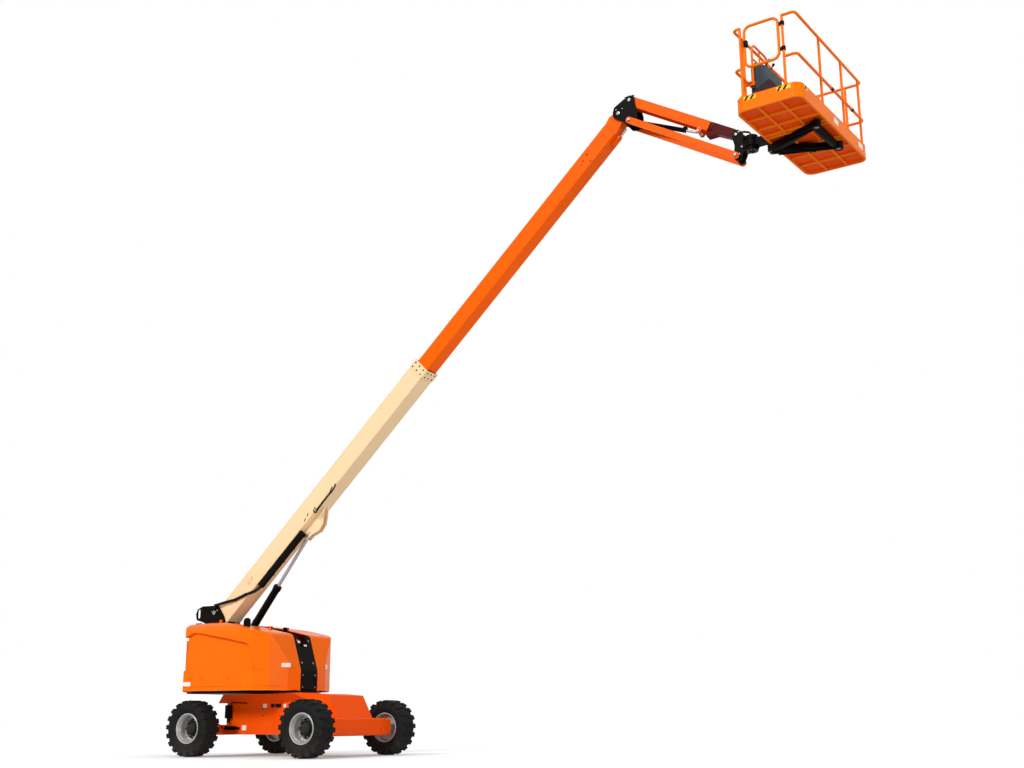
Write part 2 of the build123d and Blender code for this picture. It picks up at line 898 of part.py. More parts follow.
with BuildPart() as jib_beam:
    with BuildSketch(jib_side):
        with BuildLine():
            Polyline(
                (-jib_depth / 2, 20),
                (-30, jib_depth / 2),
                (jib_channel_end, jib_depth / 2),
                (jib_channel_end, -jib_depth / 2),
                (jib_eye_s + 46, -jib_depth / 2),
                (jib_eye_s + 34, jib_eye_t - 20),
                (jib_eye_s + 10, jib_eye_t - 36),
                (jib_eye_s - 22, jib_eye_t - 32),
                (jib_eye_s - 40, -jib_depth / 2),
                (-30, -jib_depth / 2),
                (-jib_depth / 2, -20),
                close=True,
            )
        make_face()
    extrude(amount=jib_half_width, both=True)
    with BuildSketch(jib_side):
        with BuildLine():
            Polyline(
                (-200, jib_depth / 2 - jib_wall),
                (jib_channel_end - 12, jib_depth / 2 - jib_wall),
                (jib_channel_end - 12, -300),
                (-200, -300),
                close=True,
            )
        make_face()
    extrude(amount=jib_half_width - jib_wall, both=True, mode=Mode.SUBTRACT)
    with BuildSketch(jib_side):
        Circle(jib_pin_radius + running_gap)
    extrude(amount=jib_half_width + 1, both=True, mode=Mode.SUBTRACT)
keep("jib_beam", jib_beam.part)

with BuildPart() as jib_end_tube:
    with BuildSketch(jib_side):
        with BuildLine():
            Polyline(
                (jib_channel_end + seat_gap, jib_depth / 2 + 4),
                (jib_length - 30, jib_depth / 2 + 4),
                (jib_length + 36, 26),
                (jib_length + 36, -26),
                (jib_length + 12, -44),
                (jib_length - 60, -54),
                (jib_channel_end + 160, -70),
                (jib_channel_end + 40, -150),
                (jib_channel_end + seat_gap, -120),
                close=True,
            )
        make_face()
        with Locations((jib_length, 0)):
            Circle(jib_pin_radius + running_gap, mode=Mode.SUBTRACT)
    extrude(amount=60, both=True)
keep("jib_end_tube", jib_end_tube.part)

for name, side in (("jib_link_left", 1), ("jib_link_right", -1)):
    with BuildPart() as link:
        with BuildSketch(link_side.offset(-side * link_inner_y)):
            with Locations((jib_length / 2, 0)):
                SlotCenterToCenter(jib_length, link_depth)
            with Locations((0, 0), (jib_length, 0)):
                Circle(jib_pin_radius + running_gap, mode=Mode.SUBTRACT)
        extrude(amount=-side * link_thickness)
    keep(name, link.part)

jib_base = jib_upper + Vector(jib_base_reach, 0, -jib_base_drop)
jib_eye = jib_upper + jib_dir * jib_eye_s + Vector(sin(radians(jib_drop)), 0, cos(radians(jib_drop))) * jib_eye_t
jib_span = (jib_eye - jib_base).length
jib_cylinder_dir = (jib_eye - jib_base) / jib_span
with BuildPart() as jib_barrel:
    add(cylinder_along(jib_base, jib_cylinder_dir, 30, jib_barrel_length, jib_barrel_radius))
    with BuildSketch(Plane(origin=jib_base, x_dir=jib_cylinder_dir, z_dir=(0, -1, 0))):
        Circle(40)
    extrude(amount=60, both=True)
    with BuildSketch(Plane(origin=jib_base, x_dir=jib_cylinder_dir, z_dir=(0, -1, 0))):
        Circle(jib_base_pin_radius + running_gap)
    extrude(amount=70, both=True, mode=Mode.SUBTRACT)
    add(
        cylinder_along(
            jib_base, jib_cylinder_dir, 120, jib_barrel_length + 5, jib_rod_radius + running_gap
        ),
        mode=Mode.SUBTRACT,
    )
keep("jib_barrel", jib_barrel.part)

with BuildPart() as jib_rod:
    add(cylinder_along(jib_base, jib_cylinder_dir, 300, jib_span - 10, jib_rod_radius))
    with BuildSketch(Plane(origin=jib_eye, x_dir=jib_cylinder_dir, z_dir=(0, -1, 0))):
        Circle(jib_eye_radius)
    extrude(amount=30, both=True)
keep("jib_rod", jib_rod.part)

end_side = Plane(origin=end_upper, x_dir=(1, 0, 0), z_dir=(0, -1, 0))
with BuildPart() as end_bracket:
    for y in (68, -68 - 18):
        with BuildSketch(end_side.offset(y)):
            with BuildLine():
                Polyline(
                    (-55, 20),
                    (-20, 66),
                    (40, 66),
                    (100, 10),
                    (100, -270),
                    (50, -385),
                    (-20, -390),
                    (-50, -340),
                    (-30, -160),
                    (-58, -40),
                    close=True,
                )
            make_face()
        extrude(amount=18)
    with BuildSketch(end_side):
        Circle(jib_pin_radius)
    extrude(amount=96, both=True)
    for y in (68, -68):
        with BuildSketch(end_side.offset(y)):
            with Locations((0, -jib_post)):
                Circle(jib_pin_radius)
        extrude(amount=(link_inner_y + link_thickness + 12 - 68) * (1 if y > 0 else -1))
    for z in (-55, -250):
        with BuildSketch(end_side):
            with Locations(((78 + rotator_reach) / 2, z)):
                Rectangle(rotator_reach - 78, 26)
        extrude(amount=70, both=True)
        with BuildSketch(Plane.XY.offset(end_upper.Z + z - 13)):
            with Locations((rotator_x, 0)):
                Circle(86)
        extrude(amount=26)
keep("end_bracket", end_bracket.part)

rotator_bottom = end_upper.Z - 250 + 13 + seat_gap
rotator_top = end_upper.Z - 55 - 13 - seat_gap
with BuildPart() as rotator:
    with BuildSketch(Plane.XY.offset(rotator_bottom)):
        with Locations((rotator_x, 0)):
            Circle(rotator_radius - 12)
    extrude(amount=rotator_top - rotator_bottom)
    with BuildSketch(Plane.XY.offset(rotator_bottom + 30)):
        with Locations((rotator_x, 0)):
            Circle(rotator_radius)
    extrude(amount=rotator_top - rotator_bottom - 60)
    with BuildSketch(Plane.XY.offset(rotator_bottom + 32)):
        with Locations((rotator_x + 150, 0)):
            Rectangle(200, 120)
    extrude(amount=rotator_top - rotator_bottom - 64)
keep_on_platform("rotator", rotator.part)

# Platform
floor_z = platform_bottom_z + platform_floor_rise
support_z = platform_bottom_z - support_depth - seat_gap
with BuildPart() as platform_support:
    with BuildSketch(Plane.XY.offset(support_z)):
        with BuildLine():
            Polyline(
                (rotator_x + 250.3, -60),
                (platform_x + 305, -support_hub_y - 40),
                (platform_x + 355, -support_hub_y + 30),
                (rotator_x + 430, 0),
                (platform_x + 355, support_hub_y - 30),
                (platform_x + 305, support_hub_y + 40),
                (rotator_x + 250.3, 60),
                close=True,
            )
        make_face()
        with Locations((platform_x + 290, 0)):
            Rectangle(80, 2 * support_hub_y)
        with Locations((platform_x + 325, -support_hub_y), (platform_x + 325, support_hub_y)):
            Circle(support_hub_radius)
    extrude(amount=support_depth)
    with BuildSketch(Plane.XY.offset(support_z)):
        with Locations((rotator_x + 277, 0)):
            Rectangle(54, 120)
    extrude(amount=rotator_top - 60 - support_z)
keep_on_platform("platform_support", platform_support.part)

with BuildPart() as platform_floor:
    with BuildSketch(Plane.XY.offset(platform_bottom_z)):
        with Locations((platform_x, 0)):
            RectangleRounded(platform_width, platform_length, platform_corner)
    extrude(amount=skirt_height)
    with BuildSketch(Plane.XY.offset(floor_z)):
        with Locations((platform_x, 0)):
            RectangleRounded(
                platform_width - 2 * skirt_wall,
                platform_length - 2 * skirt_wall,
                platform_corner - skirt_wall,
            )
    extrude(amount=skirt_height, mode=Mode.SUBTRACT)
    with BuildSketch(Plane.XY.offset(floor_z)):
        with Locations((platform_x, 0)):
            Rectangle(platform_width - 2 * deck_plate_inset, platform_length - 2 * deck_plate_inset)
    extrude(amount=deck_plate_thickness)
    with BuildSketch(Plane.XY.offset(platform_bottom_z - 1)):
        with Locations((platform_x, 0)):
            RectangleRounded(
                platform_width - 2 * 30,
                platform_length - 2 * 30,
                platform_corner - 30,
            )
        for x in (-150, 150):
            with Locations((platform_x + x, 0)):
                Rectangle(10, platform_length, mode=Mode.SUBTRACT)
        for y in (-870, -560, -330, -250, 250, 330, 560, 870):
            with Locations((platform_x, y)):
                Rectangle(platform_width, 10, mode=Mode.SUBTRACT)
    extrude(amount=40, mode=Mode.SUBTRACT)
keep_on_platform("platform_floor", platform_floor.part)

rail_top_z = floor_z + rail_height
rail_mid_z = floor_z + rail_mid_rise
half_x = platform_width / 2 - rail_out
half_y = platform_length / 2 - rail_out


with BuildPart() as platform_rails:
    for z in (rail_top_z, rail_mid_z):
        add(
            bar(
                (
                    (platform_x + gate_left, -half_y, z),
                    (platform_x - half_x, -half_y, z),
                    (platform_x - half_x, half_y, z),
                    (platform_x + half_x, half_y, z),
                    (platform_x + half_x, -half_y, z),
                    (platform_x + gate_right, -half_y, z),
                ),
                rail_radius,
                bend=rail_bend,
            )
        )
    for x, y in (
        (gate_left, -half_y),
        (gate_right, -half_y),
        (-half_x, -half_y + 300),
        (half_x, -400),
        (half_x, 400),
        (half_x, half_y - 130),
        (-half_x, half_y - 130),
        (-half_x, 300),
        (-200, half_y),
        (200, half_y),
    ):
        add(
            bar(
                ((platform_x + x, y, floor_z + seat_gap), (platform_x + x, y, rail_top_z)),
                post_radius,
            )
        )
keep_on_platform("platform_rails", platform_rails.part)

gate_y = -half_y
post_corner_radius = post_radius / cos(radians(180 / tube_sides))
with BuildPart() as gate:
    with BuildLine() as loop:
        gate_points = (
            (platform_x + gate_right - gate_inset, gate_y, rail_mid_z),
            (platform_x + gate_right - gate_inset, gate_y, rail_top_z),
            (platform_x + gate_left + gate_inset, gate_y, rail_top_z),
            (platform_x + gate_left + gate_inset, gate_y, rail_mid_z),
        )
        FilletPolyline(*gate_points, radius=gate_bend, close=True)
    with BuildSketch(Plane(origin=loop.line @ 0, z_dir=loop.line % 0)):
        RegularPolygon(rail_radius, side_count=tube_sides, major_radius=False)
    sweep()
    for z in (rail_mid_z + 90, rail_top_z - 140):
        with BuildSketch(Plane.XY.offset(z)):
            with Locations((platform_x + gate_right, gate_y)):
                Circle(post_radius + 12)
            with Locations((platform_x + gate_right - 30, gate_y)):
                Rectangle(60, 22)
            with Locations((platform_x + gate_right, gate_y)):
                Circle(post_corner_radius + running_gap, mode=Mode.SUBTRACT)
        extrude(amount=50)
keep_on_platform("gate", gate.part)

console_x = platform_x - half_x + 40
console_y = -550
with BuildPart() as console:
    with BuildSketch(Plane(origin=(console_x, console_y, floor_z), x_dir=(1, 0, 0), z_dir=(0, -1, 0))):
        with BuildLine():
            Polyline((0, 500), (0, 800), (60, 850), (250, 720), (250, 560), (90, 470), close=True)
        make_face()
    extrude(amount=220, both=True)
    for y in (-150, 150):
        with BuildSketch(Plane.XY.offset(floor_z + seat_gap)):
            with Locations((console_x - 8, console_y + y)):
                Rectangle(40, 30)
        extrude(amount=540)
keep_on_platform("console", console.part)
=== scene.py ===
"""Dresses the telescopic boom lift: finishes, fine fittings, studio and camera."""

import json
import logging
from collections.abc import Iterable, Iterator, Sequence
from contextlib import contextmanager
from dataclasses import dataclass, field
from enum import Enum
from itertools import product
from math import cos, pi, radians, sin, sqrt, tan

import bmesh
import bpy
from mathutils import Matrix, Quaternion, Vector

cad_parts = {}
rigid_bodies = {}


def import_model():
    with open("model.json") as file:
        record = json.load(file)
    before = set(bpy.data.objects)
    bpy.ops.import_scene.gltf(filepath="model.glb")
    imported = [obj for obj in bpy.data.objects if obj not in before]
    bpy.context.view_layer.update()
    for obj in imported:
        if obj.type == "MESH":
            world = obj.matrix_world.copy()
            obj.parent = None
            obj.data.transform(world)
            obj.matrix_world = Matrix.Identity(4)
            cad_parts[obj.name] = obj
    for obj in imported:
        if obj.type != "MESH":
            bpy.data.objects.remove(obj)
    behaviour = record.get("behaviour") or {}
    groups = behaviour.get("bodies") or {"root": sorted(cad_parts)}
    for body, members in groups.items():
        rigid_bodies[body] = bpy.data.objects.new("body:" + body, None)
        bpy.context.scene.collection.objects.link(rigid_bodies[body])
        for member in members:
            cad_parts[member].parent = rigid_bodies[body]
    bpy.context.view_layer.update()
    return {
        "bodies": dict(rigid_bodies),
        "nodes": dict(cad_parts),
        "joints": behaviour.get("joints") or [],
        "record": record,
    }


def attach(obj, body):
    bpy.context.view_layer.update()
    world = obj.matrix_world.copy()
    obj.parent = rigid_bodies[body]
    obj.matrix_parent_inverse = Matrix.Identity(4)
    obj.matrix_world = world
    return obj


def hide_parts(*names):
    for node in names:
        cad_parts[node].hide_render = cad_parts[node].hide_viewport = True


LOG = logging.getLogger("boom_lift")

Point = Sequence[float]
Tree = bpy.types.NodeTree
Socket = bpy.types.NodeSocket

# Camera: fitted to the photograph, in the row frame, metres, degrees and millimetres
CAMERA_PLACE = (13.18, -15.73, 0.564)
CAMERA_HEADING = 30.4
CAMERA_PITCH = 14.70
CAMERA_ROLL = -0.26
CAMERA_LENS = 44.61
SENSOR_WIDTH = 36.0

# Directions, and the two sides of the machine: left is +Y, right is -Y
UP, DOWN = (0, 0, 1), (0, 0, -1)
EAST, WEST, NORTH, SOUTH = (1, 0, 0), (-1, 0, 0), (0, 1, 0), (0, -1, 0)
SIDES = (1, -1)

# Linear white of the room, and the sRGB grey-brown of road dust
WHITE = (1.0, 1.0, 1.0, 1.0)
ROAD_DUST = "#6b6156"

# Thickness of a label on its face, the angle above which edges stay sharp, the distance under
# which a shape's points are merged, and the gap across which a pipe's ends join in a loop
LABEL_THICKNESS = 0.0012
SHARP_ANGLE = 35.0
MERGE_DISTANCE = 1e-6
LOOP_GAP = 1e-5

# Places of the machine's main joints, metres and degrees
WHEEL_PLACES = {
    "steer_right": (-1.105, -1.0, 0.415), "steer_left": (-1.105, 1.0, 0.415),
    "drive_right": (1.105, -1.0, 0.415), "drive_left": (1.105, 1.0, 0.415),
}
BOOM_PIVOT = (-1.56, 0.0, 2.22)
BOOM_ANGLE = 43.7
LIFT_BASE = (-1.445, 0.0, 1.25)
LIFT_EYE = (0.1953, 0.0, 3.3649)
JIB_PIVOT = (6.050034, 0.0, 9.374957)
JIB_DROP = 30.5
JIB_BARREL_BASE = (6.100, 0.0, 9.050)
JIB_BARREL_WAY = (1.0429, 0.0, -0.4205)
LINK_SPACING = 0.34
END_BRACKET_PIN = (7.6527, 0.0, 8.4309)
ROTATOR_X = 7.848664
PLATFORM_YAW = -4.5
PLATFORM_MIDDLE = (0.765, 0.0, 8.1499)


class Grain(Enum):
    """What a surface's fine relief is like."""

    PAINT = "sprayed paint"
    MOULDED = "moulded shell"
    CAST = "cast metal"
    RUBBER = "moulded rubber"
    METAL = "machined metal"


@dataclass(frozen=True)
class Finish:
    """One real surface finish.

    Args:
        name: the material's own name.
        colour: sRGB hex colour of the clean surface.
        grain: the kind of fine relief.
        roughness: mean roughness of the surface.
        metallic: 1 for bare metal, 0 for paint, rubber and plastic.
        coat: weight of a clear coat over the colour.
        gloss: specular level, 0.5 for plain glass-like enamel.
        tint: sRGB hex colour that the surface drifts towards in patches.
        tint_share: how far it drifts, 0 to 1.
        patch_mm: size of those patches.
        relief_mm: pitch of the fine relief.
        depth_mm: height of the fine relief.
        dust_height_m: height above the ground up to which road dust has settled.
    """

    name: str
    colour: str
    grain: Grain
    roughness: float
    metallic: float = 0.0
    coat: float = 0.0
    gloss: float = 0.07
    tint: str = "#808080"
    tint_share: float = 0.0
    patch_mm: float = 400.0
    relief_mm: float = 3.0
    depth_mm: float = 0.05
    dust_height_m: float = 0.0


# Sprayed two-pack enamel of the fly boom and the jib: even, satin, with faint orange peel.
# Real orange peel is about a millimetre wide; it is drawn at 4 mm so that it shows
ORANGE_PAINT = Finish(
    "orange_enamel", "#fe6400", Grain.PAINT, 0.36, tint="#f65a00", tint_share=0.22,
    patch_mm=900, relief_mm=4.0, depth_mm=0.02,
)
# The same enamel on the chassis and axles, made redder with painted shade from the hoods' overhang;
# duller, dusty near the ground
CHASSIS_PAINT = Finish(
    "chassis_enamel", "#ff5600", Grain.PAINT, 0.42, tint="#ee4800", tint_share=0.30,
    patch_mm=600, relief_mm=5.0, depth_mm=0.03, dust_height_m=0.55,
)
# Gel-coated glass fibre shell of the hoods: glossier than the paint, with slow waves
HOOD_SHELL = Finish(
    "hood_gelcoat", "#ff6e00", Grain.MOULDED, 0.28, coat=0.04, tint="#ff7c0c",
    tint_share=0.25, patch_mm=1200, relief_mm=90.0, depth_mm=0.25,
)
# Enamel of the work platform's skirt and rails: the lightest orange on the machine
PLATFORM_PAINT = Finish(
    "platform_enamel", "#ff7a00", Grain.PAINT, 0.36, tint="#f26a00", tint_share=0.22,
    patch_mm=500, relief_mm=4.0, depth_mm=0.03,
)
# Painted shade on the underside of the platform's floor: the enamel made dull, deep orange as it is
# in the shade
RIB_SHADE = Finish(
    "underside_painted_shade", "#ff5600", Grain.PAINT, 0.50, tint="#b03000", tint_share=0.35,
    patch_mm=250, relief_mm=5.0, depth_mm=0.04,
)
# Enamel on the ribs below that floor, lightened with painted highlight for the light bounced up
# onto them: amber edges against the sheet's painted shade
RIB_PAINTED_LIGHT = Finish(
    "rib_painted_highlight", "#ff9a1c", Grain.PAINT, 0.40, tint="#ff8808", tint_share=0.3, relief_mm=4.0,
)
# Painted shade on the jib's end tube and its straps: the orange enamel made almost black-red, as it
# is in the shade
SHADED_ORANGE_PAINT = Finish(
    "orange_painted_shade", "#560600", Grain.PAINT, 0.38, tint="#4a0600", tint_share=0.30,
    patch_mm=300, relief_mm=4.0, depth_mm=0.03,
)
# Cream enamel of the base boom: warm, even, a little glossy
CREAM_PAINT = Finish(
    "cream_enamel", "#f7d9ad", Grain.PAINT, 0.38, coat=0.05, tint="#f4cd96",
    tint_share=0.25, patch_mm=800, relief_mm=4.0, depth_mm=0.02,
)
# Black enamel of brackets, cylinders and the turntable: warm black, satin
BLACK_PAINT = Finish(
    "black_enamel", "#0b0806", Grain.PAINT, 0.45, gloss=0.05, tint="#171210",
    tint_share=0.35, patch_mm=250, relief_mm=3.0, depth_mm=0.05,
)
# Painted cast iron of the counterweight: pitted skin under dull orange paint
BALLAST_IRON = Finish(
    "painted_cast_iron", "#e85205", Grain.CAST, 0.50, tint="#b83c08", tint_share=0.30,
    patch_mm=180, relief_mm=7.0, depth_mm=0.35,
)
# Hard chrome on ground cylinder rods: bright, with streaks along the rod. The grinding marks
# are drawn at 1.5 mm, coarser than real, so that they show
CHROME = Finish(
    "hard_chrome", "#b9b7b5", Grain.METAL, 0.28, metallic=0.55, relief_mm=1.5, depth_mm=0.01,
)
# Zinc plate on bolts, nuts and pins: grey, slightly blotched metal
ZINC = Finish(
    "zinc_plate", "#96958f", Grain.METAL, 0.42, metallic=0.7, tint="#74726b",
    tint_share=0.3, patch_mm=20, relief_mm=1.0, depth_mm=0.02,
)
# Aluminium lacquer on the pressed steel rims: pale, half metallic, dusty below
RIM_SILVER = Finish(
    "rim_silver", "#b9b8b6", Grain.METAL, 0.36, metallic=0.35, coat=0.15, tint="#8d8a86",
    tint_share=0.35, patch_mm=120, relief_mm=2.5, depth_mm=0.03, dust_height_m=0.5,
)
# Dark cast iron of the hubs and the slew drive: rough, brown-grey
HUB_IRON = Finish(
    "hub_cast_iron", "#2b2927", Grain.CAST, 0.55, tint="#4a4540", tint_share=0.4,
    patch_mm=40, relief_mm=3.0, depth_mm=0.2,
)
# Moulded natural rubber of the tyres: matt dark grey, dusty at the foot
TYRE = Finish(
    "tyre_rubber", "#1c1c1c", Grain.RUBBER, 0.72, tint="#2b2a28", tint_share=0.5,
    patch_mm=60, relief_mm=2.0, depth_mm=0.15, dust_height_m=0.30,
)
# Extruded synthetic rubber of hoses, cables and seals: matt, near black
HOSE = Finish(
    "hose_rubber", "#191816", Grain.RUBBER, 0.62, tint="#2a2825", tint_share=0.4,
    patch_mm=40, relief_mm=1.5, depth_mm=0.10,
)
# Moulded ABS of the control console: slate grey with a fine grain
SLATE_PLASTIC = Finish(
    "slate_plastic", "#46545c", Grain.MOULDED, 0.48, tint="#5a6870", tint_share=0.3,
    patch_mm=150, relief_mm=0.8, depth_mm=0.06,
)
# Moulded polyethylene of grilles, levers, pads and the tank: black, satin
BLACK_PLASTIC = Finish(
    "black_plastic", "#151515", Grain.MOULDED, 0.5, tint="#242424", tint_share=0.3,
    patch_mm=60, relief_mm=0.7, depth_mm=0.05,
)
# Oily cast aluminium and iron of the engine: dark, blotched, rough
ENGINE_METAL = Finish(
    "engine_metal", "#3a3a3c", Grain.CAST, 0.5, metallic=0.5, tint="#565452",
    tint_share=0.4, patch_mm=80, relief_mm=4.0, depth_mm=0.3,
)
# Vinyl film of the blank labels: off-white, smooth
LABEL_WHITE = Finish(
    "blank_label", "#f2efe9", Grain.MOULDED, 0.42, tint="#dcd8d0", tint_share=0.3,
    patch_mm=30, relief_mm=6.0,
)
# Vinyl film of the hazard stripes: warm yellow, smooth
WARNING_YELLOW = Finish(
    "warning_yellow", "#ffd23a", Grain.MOULDED, 0.4, tint="#f0b820", tint_share=0.2,
    patch_mm=40, relief_mm=6.0,
)
# Moulded acetal of the stop button: clear red, glossy
STOP_RED = Finish("stop_red", "#d01810", Grain.MOULDED, 0.35, relief_mm=2.0)

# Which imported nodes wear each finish, by whole name or first word; the others are black enamel
WEARERS = {
    CHASSIS_PAINT: "chassis_frame drive_axle steer_axle",
    CHROME: "tie_rod lift_rod jib_rod",
    BALLAST_IRON: "counterweight",
    ENGINE_METAL: "engine_block",
    BLACK_PLASTIC: "tank_block",
    HOOD_SHELL: "hood_left hood_right",
    CREAM_PAINT: "base_boom",
    HOSE: "boom_hoses",
    ORANGE_PAINT: "fly_boom jib_beam jib_link_left jib_link_right",
    # The jib's end tube wears the orange with painted shade
    SHADED_ORANGE_PAINT: "jib_end_tube",
    PLATFORM_PAINT: "platform_floor platform_rails gate",
    SLATE_PLASTIC: "console",
    TYRE: "tyre",
    RIM_SILVER: "rim",
}


def linear(code: str) -> tuple[float, float, float, float]:
    """Turns an sRGB hex colour into linear RGBA.

    Args:
        code: a colour such as "#ff6a00".

    Returns:
        The linear colour with alpha 1.
    """
    parts = [int(code[i:i + 2], 16) / 255 for i in (1, 3, 5)]
    red, green, blue = (p / 12.92 if p <= 0.04045 else ((p + 0.055) / 1.055) ** 2.4 for p in parts)
    return red, green, blue, 1.0


def clear_tree(owner: bpy.types.Material | bpy.types.World) -> Tree:
    """Switches a material's or world's nodes on and empties its tree.

    Args:
        owner: the material or world.

    Returns:
        Its empty node tree.
    """
    owner.use_nodes = True
    owner.node_tree.nodes.clear()
    return owner.node_tree


def add_node(
    tree: Tree, kind: str, inputs: dict[int | str, object] | None = None, **settings: object
) -> bpy.types.Node:
    """Adds a shader node with its settings, constants and links.

    Args:
        tree: the node tree.
        kind: the node's type name after "ShaderNode".
        inputs: constants or other nodes' outputs, by the input's name or index.
        settings: the node's own settings, such as its operation.

    Returns:
        The new node.
    """
    node = tree.nodes.new(f"ShaderNode{kind}")
    for name, value in settings.items():
        setattr(node, name, value)
    for key, value in (inputs or {}).items():
        if isinstance(value, bpy.types.NodeSocket):
            tree.links.new(value, node.inputs[key])
        else:
            node.inputs[key].default_value = value
    return node


class FinishLibrary:
    """Makes each finish's material once and hands it out."""

    # How far the machining marks of metal are drawn out along the object's Z
    STRETCH = 12.0

    def __init__(self) -> None:
        """Starts with no material made."""
        self._made: dict[str, bpy.types.Material] = {}

    def get(self, finish: Finish) -> bpy.types.Material:
        """Returns the material of a finish, made on first use.

        Args:
            finish: the finish wanted.

        Returns:
            Its material.
        """
        if finish.name not in self._made:
            self._made[finish.name] = self._build(finish)
        return self._made[finish.name]

    def _build(self, finish: Finish) -> bpy.types.Material:
        """Builds the material of a finish.

        Args:
            finish: the finish.

        Returns:
            The new material.
        """
        material = bpy.data.materials.new(finish.name)
        tree = clear_tree(material)
        place = add_node(tree, "TexCoord").outputs["Object"]
        shader = add_node(tree, "BsdfPrincipled", {
            "Metallic": finish.metallic,
            "Coat Weight": finish.coat,
            "Coat Roughness": 0.12,
            "Specular IOR Level": 0.5 if finish.metallic > 0 else finish.gloss,
            "Base Color": self._colour(tree, finish, place),
            "Roughness": self._roughness(tree, finish, place),
            "Normal": self._relief(tree, finish, place),
        })
        add_node(tree, "OutputMaterial", {"Surface": shader.outputs["BSDF"]})
        return material

    def _colour(self, tree: Tree, finish: Finish, place: Socket) -> Socket:
        """Mixes the clean colour with its tint in patches, and with dust near the ground.

        Args:
            tree: the node tree.
            finish: the finish.
            place: the object coordinates.

        Returns:
            The colour.
        """
        patches = add_node(tree, "TexNoise", {
            "Vector": place, "Scale": 1000 / finish.patch_mm, "Detail": 4.0, "Roughness": 0.55,
        })
        share = add_node(tree, "MapRange", {
            "Value": patches.outputs["Fac"], "From Min": 0.35, "From Max": 0.75,
            "To Max": finish.tint_share,
        })
        sources = {0: share.outputs["Result"], 6: linear(finish.colour), 7: linear(finish.tint)}
        mixed = add_node(tree, "Mix", sources, data_type="RGBA").outputs[2]
        if finish.dust_height_m <= 0:
            return mixed
        height = add_node(tree, "SeparateXYZ", {"Vector": place}).outputs["Z"]
        settled = add_node(tree, "MapRange", {
            "Value": height, "From Min": 0.0, "From Max": finish.dust_height_m,
            "To Min": 0.30, "To Max": 0.0,
        })
        grime = add_node(tree, "TexNoise", {"Vector": place, "Scale": 9.0, "Detail": 6.0})
        factors = {0: settled.outputs["Result"], 1: grime.outputs["Fac"]}
        amount = add_node(tree, "Math", factors, operation="MULTIPLY").outputs["Value"]
        dusted = {0: amount, 6: mixed, 7: linear(ROAD_DUST)}
        return add_node(tree, "Mix", dusted, data_type="RGBA").outputs[2]

    def _roughness(self, tree: Tree, finish: Finish, place: Socket) -> Socket:
        """Spreads the roughness a little in smears.

        Args:
            tree: the node tree.
            finish: the finish.
            place: the object coordinates.

        Returns:
            The roughness.
        """
        smears = add_node(tree, "TexNoise", {
            "Vector": place, "Scale": 2500 / finish.patch_mm, "Detail": 5.0, "Roughness": 0.6,
        })
        spread = add_node(tree, "MapRange", {
            "Value": smears.outputs["Fac"],
            "To Min": max(0.03, finish.roughness - 0.07),
            "To Max": min(1.0, finish.roughness + 0.09),
        })
        return spread.outputs["Result"]

    def _relief(self, tree: Tree, finish: Finish, place: Socket) -> Socket:
        """Makes the fine relief of a finish's grain.

        Args:
            tree: the node tree.
            finish: the finish.
            place: the object coordinates.

        Returns:
            The normal.
        """
        scale, detail = 1000 / finish.relief_mm, 2.0
        if finish.grain is Grain.METAL:
            stretch = {"Vector": place, "Scale": (1.0, 1.0, self.STRETCH)}
            place = add_node(tree, "Mapping", stretch).outputs["Vector"]
            scale, detail = scale / self.STRETCH, 3.0
        elif finish.grain in (Grain.CAST, Grain.RUBBER):
            detail = 8.0
        source = add_node(tree, "TexNoise", {"Vector": place, "Scale": scale, "Detail": detail})
        bump = add_node(tree, "Bump", {
            "Height": source.outputs["Fac"], "Strength": 0.6, "Distance": finish.depth_mm / 1000,
        })
        return bump.outputs["Normal"]


def aim(origin: Point, axis: Point, up: Point = UP) -> Matrix:
    """Gives a place whose Z axis runs along a direction and whose Y stays near another.

    Args:
        origin: where the place is.
        axis: the direction of its Z.
        up: the direction its Y stays near.

    Returns:
        The place as a 4x4 matrix.
    """
    z = Vector(axis).normalized()
    guide = Vector(up)
    if abs(z.dot(guide.normalized())) > 0.98:
        guide = Vector(EAST)
    x = guide.cross(z).normalized()
    turn = Matrix((x, z.cross(x), z)).transposed().to_4x4()
    return Matrix.Translation(origin) @ turn


def beside(side: int, x: float, y: float, z: float) -> Matrix:
    """Gives a place on a face that looks to a side (+1 left, -1 right), Z outwards."""
    return aim((x, side * y, z), (0, side, 0))


def around(place: Matrix, count: int, radius: float) -> list[Matrix]:
    """Spreads a count of places evenly round another's Z axis, at a radius."""
    out = Matrix.Translation((radius, 0, 0))
    return [place @ Matrix.Rotation(2 * pi * k / count, 4, "Z") @ out for k in range(count)]


def mirrored(points: Iterable[Point], side: int) -> list[tuple[float, float, float]]:
    """Moves a route given for the left to a side: +1 the left, -1 the right."""
    return [(x, side * y, z) for x, y, z in points]


def rounded(points: Iterable[Point], bend: float, steps: int = 6) -> list[Vector]:
    """Rounds the corners of a route with arcs.

    Args:
        points: the route's corners.
        bend: the arcs' radius.
        steps: chords in each arc.

    Returns:
        The denser route.
    """
    corners = [Vector(p) for p in points]
    route = [corners[0]]
    for before, corner, after in zip(corners, corners[1:], corners[2:]):
        back = (before - corner).normalized()
        ahead = (after - corner).normalized()
        angle = back.angle(ahead)
        centre = corner + (back + ahead).normalized() * bend / sin(angle / 2)
        start = corner + back * bend / tan(angle / 2) - centre
        axis = start.cross(corner + ahead * bend / tan(angle / 2) - centre)
        for k in range(steps + 1):
            route.append(centre + Quaternion(axis, (pi - angle) * k / steps) @ start)
    route.append(corners[-1])
    return route


